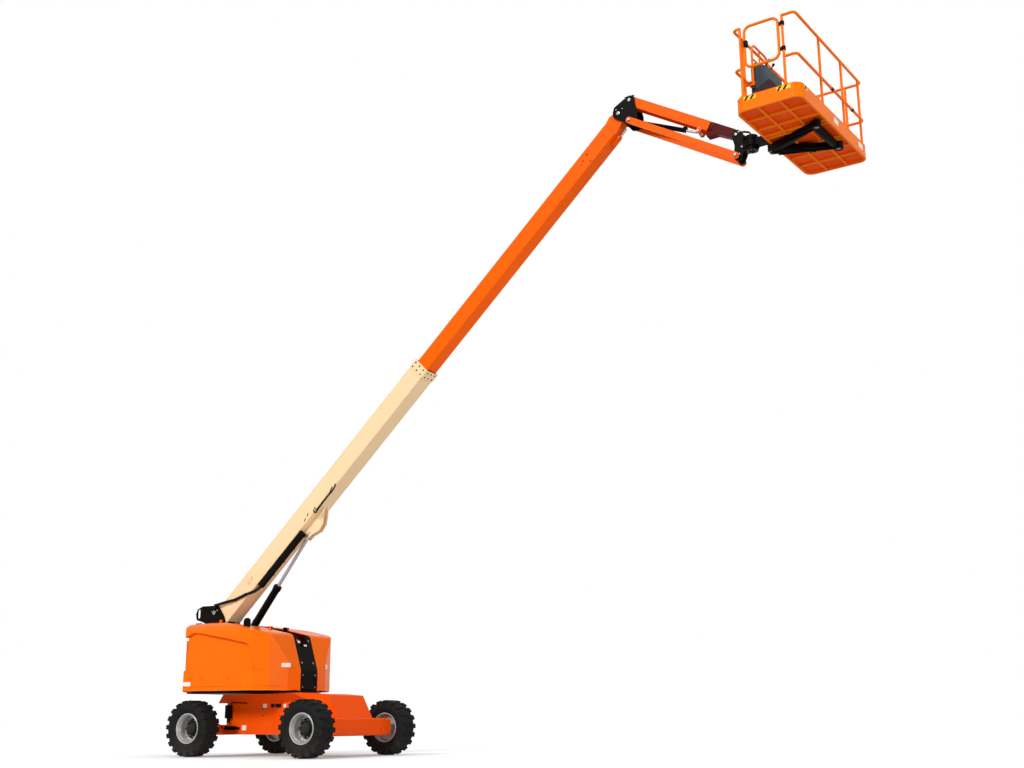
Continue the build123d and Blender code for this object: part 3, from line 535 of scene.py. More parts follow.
class Shaper:
    """Collects operator-made shapes in one mesh, in a local frame."""

    def __init__(self, frame: Matrix) -> None:
        """Starts an empty collection of shapes given in a frame."""
        self.frame = frame
        self.mesh = bmesh.new()

    def take(self, part: bmesh.types.BMesh, place: Matrix) -> None:
        """Moves a part to its place and joins it to the collection.

        Args:
            part: the part; it is freed.
            place: where it goes in the local frame.
        """
        whole = self.frame @ place
        bmesh.ops.recalc_face_normals(part, faces=part.faces)
        bmesh.ops.transform(part, matrix=whole, verts=part.verts)
        if whole.determinant() < 0:
            bmesh.ops.reverse_faces(part, faces=part.faces)
        carrier = bpy.data.meshes.new("carrier")
        part.to_mesh(carrier)
        part.free()
        self.mesh.from_mesh(carrier)
        bpy.data.meshes.remove(carrier)

    def bevelled(self, part: bmesh.types.BMesh, width: float) -> None:
        """Bevels every edge of a part.

        Args:
            part: the part.
            width: the bevel's width; 0 leaves the edges sharp.
        """
        if width > 0:
            bmesh.ops.bevel(
                part, geom=list(part.edges), offset=width, offset_type="OFFSET", segments=2,
                profile=0.5, affect="EDGES", material=-1, clamp_overlap=True,
            )
            bmesh.ops.remove_doubles(part, verts=part.verts, dist=MERGE_DISTANCE)

    def block(
        self, centre: Point, size: Point, bevel: float = 0.002, place: Matrix | None = None
    ) -> None:
        """Adds a bevelled box.

        Args:
            centre: its centre.
            size: its three sides.
            bevel: the bevel's width.
            place: a frame in which the centre is given.
        """
        part = bmesh.new()
        bmesh.ops.create_cube(part, size=1.0, matrix=Matrix.Diagonal((*size, 1)))
        self.bevelled(part, bevel)
        self.take(part, (place or Matrix()) @ Matrix.Translation(centre))

    def plate(
        self, outline: Sequence[Point], place: Matrix, thickness: float, bevel: float = 0.0
    ) -> None:
        """Adds a flat plate grown from an outline.

        Args:
            outline: (x, y) corners in the place's XY plane.
            place: where the plate is; it grows along Z.
            thickness: its thickness.
            bevel: the bevel's width.
        """
        part = bmesh.new()
        face = part.faces.new([part.verts.new((x, y, 0)) for x, y in outline])
        grown = bmesh.ops.extrude_face_region(part, geom=[face])["geom"]
        top = [v for v in grown if isinstance(v, bmesh.types.BMVert)]
        bmesh.ops.translate(part, verts=top, vec=(0, 0, thickness))
        bmesh.ops.recalc_face_normals(part, faces=part.faces)
        self.bevelled(part, bevel)
        self.take(part, place)

    def turned(self, profile: Sequence[Point], place: Matrix, steps: int) -> None:
        """Adds a shape spun round its place's Z axis.

        Args:
            profile: (radius, height) points; radius 0 at an end closes it.
            place: where the axis is.
            steps: facets round it.
        """
        part = bmesh.new()
        line = [part.verts.new((radius, 0, height)) for radius, height in profile]
        edges = [part.edges.new(pair) for pair in zip(line, line[1:])]
        bmesh.ops.spin(
            part, geom=line + edges, cent=(0, 0, 0), axis=UP, dvec=(0, 0, 0),
            angle=2 * pi, steps=steps, use_merge=True, use_duplicate=False,
        )
        bmesh.ops.remove_doubles(part, verts=part.verts, dist=MERGE_DISTANCE)
        self.take(part, place)

    def solid(self, profile: Sequence[Point], place: Matrix, steps: int) -> None:
        """Adds a shape turned from (radius, height) points, with flat ends on its axis."""
        self.turned(((0, profile[0][1]), *profile, (0, profile[-1][1])), place, steps)

    def hollow(self, profile: Sequence[Point], place: Matrix, steps: int) -> None:
        """Adds a ring turned from the (radius, height) corners of its section."""
        self.turned((*profile, profile[0]), place, steps)

    def rod(self, radius: float, height: float, place: Matrix, steps: int) -> None:
        """Adds a plain cylinder that stands on its place."""
        self.solid(((radius, 0), (radius, height)), place, steps)

    def collar(
        self, inner: float, outer: float, low: float, high: float, place: Matrix, steps: int
    ) -> None:
        """Adds a plain ring of rectangular section between two heights."""
        self.hollow(((inner, low), (outer, low), (outer, high), (inner, high)), place, steps)

    def ring(self, radius: float, tube: float, place: Matrix, steps: int, sides: int) -> None:
        """Adds a torus round its place's Z axis."""
        angles = [2 * pi * k / sides for k in range(sides + 1)]
        self.turned([(radius + tube * cos(a), tube * sin(a)) for a in angles], place, steps)

    def pipe(
        self, points: Sequence[Point], radius: float, bend: float = 0.0, steps: int = 14
    ) -> None:
        """Adds a round pipe extruded along a route, closed at both ends.

        A route that ends where it starts makes a loop without ends.

        Args:
            points: the route's corners.
            radius: the pipe's radius.
            bend: the radius its corners are rounded to.
            steps: facets round it.
        """
        route = rounded(points, bend) if bend else [Vector(p) for p in points]
        part = bmesh.new()
        facing = (route[1] - route[0]).normalized()
        bmesh.ops.create_circle(
            part, cap_ends=True, segments=steps, radius=radius, matrix=aim(route[0], facing),
        )
        face = part.faces[:][0]
        walls = []
        beyond = route[2:] + [route[-1] * 2 - route[-2]]
        for here, there, later in zip(route, route[1:], beyond):
            ahead = ((there - here).normalized() + (later - there).normalized()).normalized()
            swing = facing.rotation_difference(ahead).to_matrix().to_4x4()
            walls.append(face)
            grown = bmesh.ops.extrude_face_region(part, geom=[face])["geom"]
            face = next(g for g in grown if isinstance(g, bmesh.types.BMFace))
            move = Matrix.Translation(there) @ swing @ Matrix.Translation(-here)
            bmesh.ops.transform(part, matrix=move, verts=list(face.verts))
            facing = ahead
        # The first wall and the last face close the pipe's ends; the other walls stand inside it
        looped = (route[0] - route[-1]).length < LOOP_GAP
        inside = [*walls, face] if looped else walls[1:]
        bmesh.ops.delete(part, geom=inside, context="FACES_ONLY")
        if looped:
            bmesh.ops.remove_doubles(part, verts=part.verts, dist=LOOP_GAP)
        self.take(part, Matrix())

    def bolt(self, place: Matrix, size: float, height: float) -> None:
        """Adds a hexagon bolt head on its washer.

        Args:
            place: the middle of the washer, Z standing out.
            size: half the width across the head's corners.
            height: the head's height.
        """
        seat = height * 0.2
        self.rod(size * 1.4, seat, place, 18)
        self.solid(((size, seat), (size, height * 0.85), (size * 0.82, height)), place, 6)

    def pin(self, place: Matrix, radius: float, height: float) -> None:
        """Adds a turned pin end with a chamfer and a centre hole.

        Args:
            place: the middle of the face it stands on, Z standing out.
            radius: the pin's radius.
            height: how far it stands out.
        """
        profile = (
            (radius, 0), (radius, height * 0.8), (radius * 0.86, height),
            (radius * 0.3, height), (radius * 0.24, height * 0.75),
        )
        self.solid(profile, place, 28)

    def label(self, place: Matrix, width: float, height: float, corner: float = 0.004) -> None:
        """Adds a thin blank plate with clipped corners.

        Args:
            place: its middle on the face that carries it, Z standing out.
            width: its size along X.
            height: its size along Y.
            corner: how much its corners are clipped.
        """
        x, y, c = width / 2, height / 2, corner
        outline = (
            (-x + c, -y), (x - c, -y), (x, -y + c), (x, y - c),
            (x - c, y), (-x + c, y), (-x, y - c), (-x, -y + c),
        )
        self.plate(outline, place, LABEL_THICKNESS)


class Workshop:
    """Finishes shapes and lets them ride on a body of the frame."""

    def __init__(self) -> None:
        """Opens the workshop with no piece made."""
        self.library = FinishLibrary()
        self.made = 0

    def publish(self, shaper: Shaper, name: str, body: str, finish: Finish) -> bpy.types.Object:
        """Turns a collection of shapes into a finished piece.

        Args:
            shaper: the shapes; their mesh is freed.
            name: the piece's name.
            body: the body it moves with.
            finish: its surface.

        Returns:
            The new object.
        """
        data = bpy.data.meshes.new(name)
        shaper.mesh.to_mesh(data)
        shaper.mesh.free()
        data.materials.append(self.library.get(finish))
        piece = bpy.data.objects.new(name, data)
        bpy.context.scene.collection.objects.link(piece)
        data.shade_smooth()
        data.set_sharp_from_angle(angle=radians(SHARP_ANGLE))
        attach(piece, body)
        self.made += 1
        LOG.info("%s rides on %s", name, body)
        return piece


@dataclass
class SubAssembly:
    """A group of fittings on one part of the machine.

    Args:
        shop: the workshop that finishes its pieces.
        body: the body its pieces ride on, unless a piece names another.
        frame: the frame its pieces are given in, unless a piece names another.
    """

    shop: Workshop
    body: str
    frame: Matrix = field(default_factory=Matrix)

    @contextmanager
    def piece(
        self, name: str, finish: Finish, body: str = "", frame: Matrix | None = None
    ) -> Iterator[Shaper]:
        """Opens a piece, and publishes it when its shapes are complete.

        Args:
            name: the piece's name.
            finish: its surface.
            body: the body it rides on, if not the group's.
            frame: the frame its shapes are given in, if not the group's.

        Yields:
            The collection for its shapes.
        """
        shaper = Shaper(self.frame if frame is None else frame)
        yield shaper
        self.shop.publish(shaper, name, body or self.body, finish)

    def build(self) -> None:
        """Builds every piece of the group."""
        raise NotImplementedError


@dataclass
class Wheel(SubAssembly):
    """Fittings of one wheel: hub cap, nuts, beads, ribs, tyre with lugs, disc and valve.

    Args:
        centre: the middle of the wheel.
        disc: how far the rim's disc stands from the middle, outwards.
        nuts: how many wheel nuts there are.
        lugs: how many tread lugs there are on each side.
        crown: the radius over the lugs.
        tread: the radius at which the lugs start inside the carcass.
    """

    centre: tuple[float, float, float] = (0.0, 0.0, 0.0)
    disc: float = -0.022
    nuts: int = 9
    lugs: int = 19
    crown: float = 0.4120
    tread: float = 0.384

    @property
    def name(self) -> str:
        """The wheel's own name, such as steer_left."""
        return self.body.removeprefix("wheel_")

    def outward(self, distance: float) -> Matrix:
        """Gives a place on the axle, Z pointing outwards.

        Args:
            distance: how far from the middle of the wheel.

        Returns:
            The place.
        """
        x, y, z = self.centre
        side = 1.0 if y > 0 else -1.0
        return aim((x, y + side * distance, z), (0, side, 0))

    def build(self) -> None:
        """Builds the wheel's fittings."""
        self._hub()
        self._beads()
        self._tyre()
        self._disc()

    def _hub(self) -> None:
        """Builds the hub cap with its bolts, and the wheel nuts on their studs."""
        with self.piece(f"hub_cap_{self.name}", HUB_IRON) as hub:
            cap = (
                (0.1, self.disc), (0.1, -0.018), (0.0775, 0.0125), (0.0765, 0.03),
                (0.056, 0.046), (0.05, 0.05), (0.03, 0.05), (0.028, 0.056),
            )
            hub.solid(cap, self.outward(0), 40)
            for spot in around(self.outward(0.03), 10, 0.066):
                hub.bolt(spot, 0.007, 0.009)
        with self.piece(f"wheel_nuts_{self.name}", ZINC) as nuts:
            for spot in around(self.outward(self.disc), self.nuts, 0.124):
                nuts.solid(((0.0125, 0), (0.0125, 0.014), (0.010, 0.017)), spot, 6)
                nuts.turned(((0, 0.016), (0.0065, 0.016), (0.0065, 0.028), (0, 0.030)), spot, 12)

    def _beads(self) -> None:
        """Builds the rolled beads of the rim and the fine ribs of the tyre's walls."""
        with self.piece(f"rim_beads_{self.name}", RIM_SILVER) as rim:
            rim.ring(0.2205, 0.0035, self.outward(0.1195), 64, 8)
            rim.ring(0.186, 0.004, self.outward(0.092), 64, 8)
        with self.piece(f"tyre_ribs_{self.name}", TYRE) as ribs:
            circles = ((0.252, 0.1269679), (0.283, 0.1492), (0.309, 0.1492))
            for (radius, height), side in product(circles, SIDES):
                ribs.ring(radius, 0.0022, self.outward(side * height), 64, 8)

    def _tyre(self) -> None:
        """Builds the tyre: a turned carcass with lugs over its tread and shoulders."""
        tyre = Shaper(self.frame)
        half = (
            (0.2235, 0.108), (0.236, 0.127), (0.262, 0.143), (0.300, 0.1492), (0.338, 0.1475),
            (0.364, 0.138), (0.386, 0.122), (0.396, 0.092), (0.4005, 0.045),
        )
        other_half = [(radius, -height) for radius, height in reversed(half)]
        tyre.hollow((*half, (0.4015, 0.0), *other_half), self.outward(0), 72)
        bar = (
            (-0.027, -0.006), (0.024, -0.006), (0.036, 0.060),
            (0.049, 0.128), (-0.022, 0.128), (-0.022, 0.062),
        )
        shoulder = (
            (-0.018, 0.345), (0.038, 0.345), (0.048, 0.390),
            (0.046, 0.4070), (-0.021, 0.4070), (-0.022, 0.390),
        )
        for k, side in product(range(self.lugs), SIDES):
            angle = 2 * pi * (k + side * 0.25) / self.lugs
            spoke = self.outward(0) @ Matrix.Rotation(angle, 4, "Z")
            out = Matrix(((0, 0, 1, self.tread), (1, 0, 0, 0), (0, side, 0, 0), (0, 0, 0, 1)))
            tyre.plate(bar, spoke @ out, self.crown - self.tread, 0.004)
            wall = Matrix(((0, 1, 0, 0), (1, 0, 0, 0), (0, 0, side, side * 0.112), (0, 0, 0, 1)))
            tyre.plate(shoulder, spoke @ wall, 0.037, 0.005)
        piece = self.shop.publish(tyre, f"lug_tyre_{self.name}", self.body, TYRE)
        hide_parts(f"tyre_{self.name}")

    def _disc(self) -> None:
        """Builds a dark ring of painted shade inside the rim's deep disc, dark discs of painted
        shade for its holes, and the tyre valve.
        """
        with self.piece(f"rim_disc_shade_{self.name}", HUB_IRON) as disc:
            disc.collar(0.098, 0.150, self.disc, self.disc + 0.003, self.outward(0), 48)
            for spot in around(self.outward(self.disc + 0.0008), 8, 0.170):
                disc.rod(0.010, 0.002, spot, 16)
        with self.piece(f"tyre_valve_{self.name}", HOSE) as valve:
            stem = (
                (0, 0), (0.0055, 0), (0.0055, 0.022), (0.004, 0.024), (0.004, 0.034), (0, 0.036),
            )
            valve.turned(stem, self.outward(0.085) @ Matrix.Translation((0.0, 0.176, 0)), 12)


@dataclass
class Chassis(SubAssembly):
    """Fittings of the chassis: bolts, lashing rings, hoses, labels and brackets.

    Args:
        side_y: half the width of the frame's box.
        ring_radius: radius of the slew ring's bolt circle.
    """

    side_y: float = 0.42
    ring_radius: float = 0.445

    def build(self) -> None:
        """Builds the chassis fittings."""
        self._bolts()
        self._openings()
        self._rings()
        self._valves()
        self._labels()
        self._steering()

    def _bolts(self) -> None:
        """Builds the slew ring's bolts and those of the front axle."""
        with self.piece("chassis_bolts", ZINC) as bolts:
            for k in range(28):
                angle = 2 * pi * k / 28
                spot = (self.ring_radius * cos(angle), self.ring_radius * sin(angle), 0.917)
                bolts.bolt(aim(spot, UP), 0.011, 0.010)
            for side, x, z in product(SIDES, (1.030, 1.200), (0.500, 0.350)):
                bolts.bolt(beside(side, x, 0.748, z), 0.012, 0.010)

    def _openings(self) -> None:
        """Builds the frame's round holes as flush black discs of painted shade, and its folded
        hems.
        """
        with self.piece("chassis_holes", BLACK_PAINT) as holes:
            spots = (
                (-0.225, 0.80), (-0.225, 0.70), (-0.225, 0.60),
                (0.10, 0.60), (0.10, 0.74), (0.30, 0.50),
            )
            for side, (x, z) in product(SIDES, spots):
                holes.rod(0.011, 0.0006, beside(side, x, self.side_y, z), 20)
        with self.piece("chassis_hems", CHASSIS_PAINT) as hems:
            gusset = ((0, 0), (0.14, 0), (0.03, 0.13), (0, 0.13))
            for side in SIDES:
                hems.block((0.0, side * 0.424, 0.330), (1.86, 0.010, 0.020), 0.003)
                hems.block((-0.952, side * 0.418, 0.56), (0.018, 0.012, 0.46), 0.003)
                hems.block((0.0, side * 0.423, 0.60), (0.012, 0.006, 0.38), 0.002)
                hems.plate(gusset, beside(side, 1.243, 0.72, 0.40), 0.012, 0.002)

    def _rings(self) -> None:
        """Builds the lashing rings at both ends."""
        with self.piece("lashing_rings", CHASSIS_PAINT) as rings:
            for side in SIDES:
                rings.block((1.243, side * 0.60, 0.395), (0.016, 0.09, 0.10), 0.004)
                rings.ring(0.026, 0.008, aim((1.262, side * 0.60, 0.380), NORTH), 28, 10)
                rings.block((-0.966, side * 0.30, 0.62), (0.014, 0.08, 0.10), 0.004)
                rings.ring(0.024, 0.007, aim((-0.985, side * 0.30, 0.60), NORTH), 28, 10)

    def _valves(self) -> None:
        """Builds the axle lock valves and the hoses to the axles."""
        with self.piece("axle_lock_valves", BLACK_PAINT) as valves:
            for side in SIDES:
                valves.block((-0.90, side * 0.452, 0.66), (0.11, 0.055, 0.20), 0.006)
                upright = aim((-0.90, side * 0.452, 0.50), UP)
                valves.solid(((0.024, 0), (0.024, 0.12), (0.018, 0.13)), upright, 20)
                lying = aim((-0.94, side * 0.47, 0.418), EAST)
                valves.solid(((0.030, 0), (0.030, 0.20), (0.026, 0.21)), lying, 24)
                valves.block((-0.74, side * 0.436, 0.418), (0.10, 0.034, 0.03), 0.003)
        with self.piece("chassis_hoses", HOSE) as hoses:
            routes = (
                ((-0.86, 0.47, 0.75), (-0.80, 0.49, 0.80), (-0.60, 0.47, 0.79), (-0.55, 0.4, 0.78)),
                ((1.0, 0.30, 0.562), (1.0, 0.30, 0.60), (1.05, 0.50, 0.60), (1.10, 0.66, 0.575)),
                (
                    (-0.98, 0.48, 0.418), (-1.08, 0.50, 0.47), (-1.20, 0.36, 0.48),
                    (-1.275, 0.20, 0.452),
                ),
            )
            for side, route in product(SIDES, routes):
                hoses.pipe(mirrored(route, side), 0.008, 0.03)

    def _labels(self) -> None:
        """Builds the labels and the dark plates on the frame's sides."""
        with self.piece("chassis_labels", LABEL_WHITE) as labels:
            spots = (
                (-0.20, 0.745, 0.075, 0.055), (0.19, 0.745, 0.055, 0.050),
                (-0.60, 0.420, 0.085, 0.075),
            )
            for side, (x, z, width, height) in product(SIDES, spots):
                labels.label(beside(side, x, self.side_y, z), width, height)
        with self.piece("chassis_dark_plates", BLACK_PLASTIC) as dark:
            for side in SIDES:
                dark.label(beside(side, 0.02, self.side_y, 0.745), 0.20, 0.055)

    def _steering(self) -> None:
        """Builds the kingpins' seals on the knuckles and their caps on the axle."""
        for name, side in (("right", -1), ("left", 1)):
            with self.piece(f"kingpin_seals_{name}", HUB_IRON, f"knuckle_{name}") as seals:
                for z, way in ((0.3266, 1), (0.5034, -1)):
                    spot = aim((-1.105, side * 0.745, z), (0, 0, way))
                    seals.collar(0.034, 0.058, 0, 0.008, spot, 32)
                seals.bolt(aim((-1.275, side * 0.715, 0.394), UP), 0.016, 0.014)
        with self.piece("kingpin_caps", ZINC) as caps:
            for side, (z, way) in product(SIDES, ((0.53, 1), (0.30, -1))):
                caps.pin(aim((-1.105, side * 0.745, z), (0, 0, way)), 0.034, 0.012)
                caps.bolt(aim((-1.065, side * 0.715, z), (0, 0, way)), 0.009, 0.008)


def boom_frame() -> Matrix:
    """Gives the boom's frame: X along it, Y to the left, Z up from it."""
    return Matrix.Translation(BOOM_PIVOT) @ Matrix.Rotation(-radians(BOOM_ANGLE), 4, "Y")


def jib_frame() -> Matrix:
    """Gives the jib's frame: X along it, Y to the left, Z up from it."""
    return Matrix.Translation(JIB_PIVOT) @ Matrix.Rotation(radians(JIB_DROP), 4, "Y")


def rotator_frame() -> Matrix:
    """Gives the rotator's frame on the ground, X away from it, slewed with the platform."""
    return Matrix.Translation((ROTATOR_X, 0, 0)) @ Matrix.Rotation(radians(PLATFORM_YAW), 4, "Z")


@dataclass
class Hood(SubAssembly):
    """Fittings of one hood: seam, labels, latches, grille and bottom seal.

    Args:
        side: +1 on the left, -1 on the right.
        half_width: the flank's distance from the middle plane.
    """

    side: int = -1
    half_width: float = 0.95

    def trim(
        self, shaper: Shaper, corners: Sequence[Point], z: float, radius: float, steps: int = 8
    ) -> None:
        """Adds straight beads between corners at one height.

        Args:
            shaper: the collection.
            corners: (x, y) corners on the left side.
            z: the height.
            radius: the bead's radius.
            steps: facets round it.
        """
        route = mirrored([(x, y, z) for x, y in corners], self.side)
        for ends in zip(route, route[1:]):
            shaper.pipe(ends, radius, 0, steps)

    def flank(self, x: float, z: float) -> Matrix:
        """Gives a place on the hood's lower flank, Z pointing outwards."""
        return beside(self.side, x, self.half_width, z)

    def front(self, share: float, z: float) -> Matrix:
        """Gives a place on the slanted front, at a share of its way inwards, Z outwards."""
        spot = Vector((0.12, 0.73, z)).lerp(Vector((0.255, 0.45, z)), share)
        return aim((spot.x, self.side * spot.y, z), (0.28, self.side * 0.135, 0))

    def build(self) -> None:
        """Builds the hood's fittings."""
        with self.piece(f"{self.body}_seal", HOSE) as seal:
            foot = (
                (-1.470, 0.30), (-1.470, 0.875), (-1.405, 0.938), (-0.302, 0.938),
                (-0.066, 0.889), (0.112, 0.724), (0.245, 0.45), (0.288, 0.26),
            )
            self.trim(seal, foot, 0.967, 0.008, 10)
        with self.piece(f"{self.body}_lips", HOOD_SHELL) as lips:
            self.trim(lips, ((-0.30, self.half_width), (-0.06, 0.90), (0.12, 0.73)), 1.269, 0.004)
            skirt = (
                (-1.40, 0.953), (-0.30, 0.953), (-0.06, 0.903), (0.122, 0.732), (0.257, 0.451),
            )
            self.trim(lips, skirt, 1.034, 0.0035)
        with self.piece(f"{self.body}_labels", LABEL_WHITE) as labels:
            labels.label(self.flank(-1.33, 1.072), 0.15, 0.062)
            labels.label(self.front(0.88, 1.340), 0.15, 0.062)
        with self.piece(f"{self.body}_latches", HOOD_SHELL) as latches:
            for x in (-1.02, -0.52):
                spot = self.flank(x, 1.150)
                latches.block((0, 0, 0.003), (0.085, 0.050, 0.006), 0.002, spot)
                latches.block((0, 0.004, 0.009), (0.055, 0.026, 0.008), 0.003, spot)
        with self.piece(f"{self.body}_rear_louvres", BLACK_PLASTIC) as louvres:
            for k in range(7):
                centre = (-1.4815, self.side * 0.56, 1.16 + k * 0.045)
                louvres.block(centre, (0.006, 0.44, 0.018), 0.002)


@dataclass
class Exhaust(SubAssembly):
    """The collar and clamps of the silencer's tail on the right hood.

    Args:
        base: where the tail leaves the hood.
    """

    base: tuple[float, float, float] = (-0.440, -0.640, 1.865)

    def build(self) -> None:
        """Builds the stack's collar and clamps."""
        x, y, z = self.base
        with self.piece("exhaust_collar", BLACK_PAINT) as collar:
            skirt = ((0.054, 0.0), (0.078, 0.0), (0.078, 0.010), (0.060, 0.022), (0.0545, 0.022))
            collar.hollow(skirt, aim((x, y, z - 0.02), UP), 40)
            for height in (0.055, 0.120):
                collar.ring(0.0555, 0.0035, aim((x, y, z + height), UP), 40, 8)


@dataclass
class Turntable(SubAssembly):
    """Fittings of the turntable: pins, cover screws, ballast bolts, hoses and slew drive.

    Args:
        ballast_radius: radius of the counterweight's back.
        cover_slope: the way the centre cover's slanted face looks.
    """

    ballast_radius: float = 1.8
    cover_slope: tuple[float, float, float] = (0.525, 0.0, 0.174)

    def build(self) -> None:
        """Builds the turntable's fittings."""
        self._pins()
        self._cover()
        self._ballast()
        self._swivel()

    def _pins(self) -> None:
        """Builds the ends of the boom's and the lift cylinder's pins."""
        x, _, z = BOOM_PIVOT
        with self.piece("turntable_pins", ZINC) as pins:
            for side in SIDES:
                pins.pin(beside(side, x, 0.194, z), 0.034, 0.010)
                for angle in (0.6, 2.7):
                    spot = beside(side, x + 0.062 * cos(angle), 0.180, z + 0.062 * sin(angle))
                    pins.bolt(spot, 0.011, 0.010)
                pins.pin(beside(side, -1.445, 0.180, 1.25), 0.034, 0.008)

    def _cover(self) -> None:
        """Builds the centre cover's screws, foot and labels."""
        with self.piece("cover_screws", ZINC) as screws:
            for (x, z), y in product(((0.142, 1.728), (0.255, 1.385)), (-0.135, 0.135)):
                screws.bolt(aim((x, y, z), self.cover_slope), 0.012, 0.009)
            for y, z in product((-0.15, 0.15), (1.20, 1.02)):
                screws.bolt(aim((0.292, y, z), EAST), 0.011, 0.009)
        with self.piece("cover_foot", BLACK_PAINT) as foot:
            foot.block((0.300, 0, 0.985), (0.030, 0.30, 0.026), 0.004)
            for y in (-0.172, 0.172):
                foot.block((0.294, y, 1.10), (0.010, 0.022, 0.30), 0.003)
            for y in (0.169, -0.169):
                foot.block((-1.905, y, 2.04), (0.12, 0.030, 0.05), 0.006)
        with self.piece("cover_labels", LABEL_WHITE) as plates:
            plates.label(aim((0.150, -0.10, 1.705), self.cover_slope), 0.06, 0.035)
            plates.label(aim((0.166, 0.04, 1.655), self.cover_slope), 0.07, 0.030)

    def _ballast(self) -> None:
        """Builds the counterweight's bolts, lifting rings and casting seams."""
        with self.piece("ballast_bolts", ZINC) as bolts:
            for y, z in product((-0.42, -0.14, 0.14, 0.42), (1.20, 1.58)):
                reach = sqrt(self.ballast_radius ** 2 - y * y)
                bolts.bolt(aim((-reach, y, z), (-reach, y, 0)), 0.022, 0.018)
            for y in (-0.35, 0.35):
                bolts.ring(0.035, 0.010, aim((-1.66, y, 1.775), NORTH), 28, 10)
        with self.piece("ballast_seams", BALLAST_IRON) as seams:
            reach = self.ballast_radius + 0.0035
            for z in (1.22, 1.48):
                angles = [k * 0.045 for k in range(-7, 8)]
                seams.pipe([(-reach * cos(a), reach * sin(a), z) for a in angles], 0.004, 0, 8)

    def _swivel(self) -> None:
        """Builds the hoses and the slew drive between the hoods."""
        with self.piece("swivel_hoses", HOSE) as hoses:
            for y in (-0.10, -0.034, 0.032, 0.098):
                route = (
                    (-0.30, y, 1.00), (-0.30, y, 1.12), (-0.62, y * 0.8, 1.20),
                    (-0.95, y * 0.7, 1.14), (-1.20, y * 0.7, 1.02),
                )
                hoses.pipe(route, 0.010, 0.06)
        with self.piece("slew_drive", HUB_IRON) as motor:
            body = ((0.105, 0), (0.105, 0.10), (0.075, 0.13), (0.075, 0.27), (0.05, 0.30))
            motor.solid(body, aim((-0.02, 0.0, 0.958), UP), 32)
            motor.block((-0.22, 0.0, 1.04), (0.16, 0.18, 0.16), 0.01)


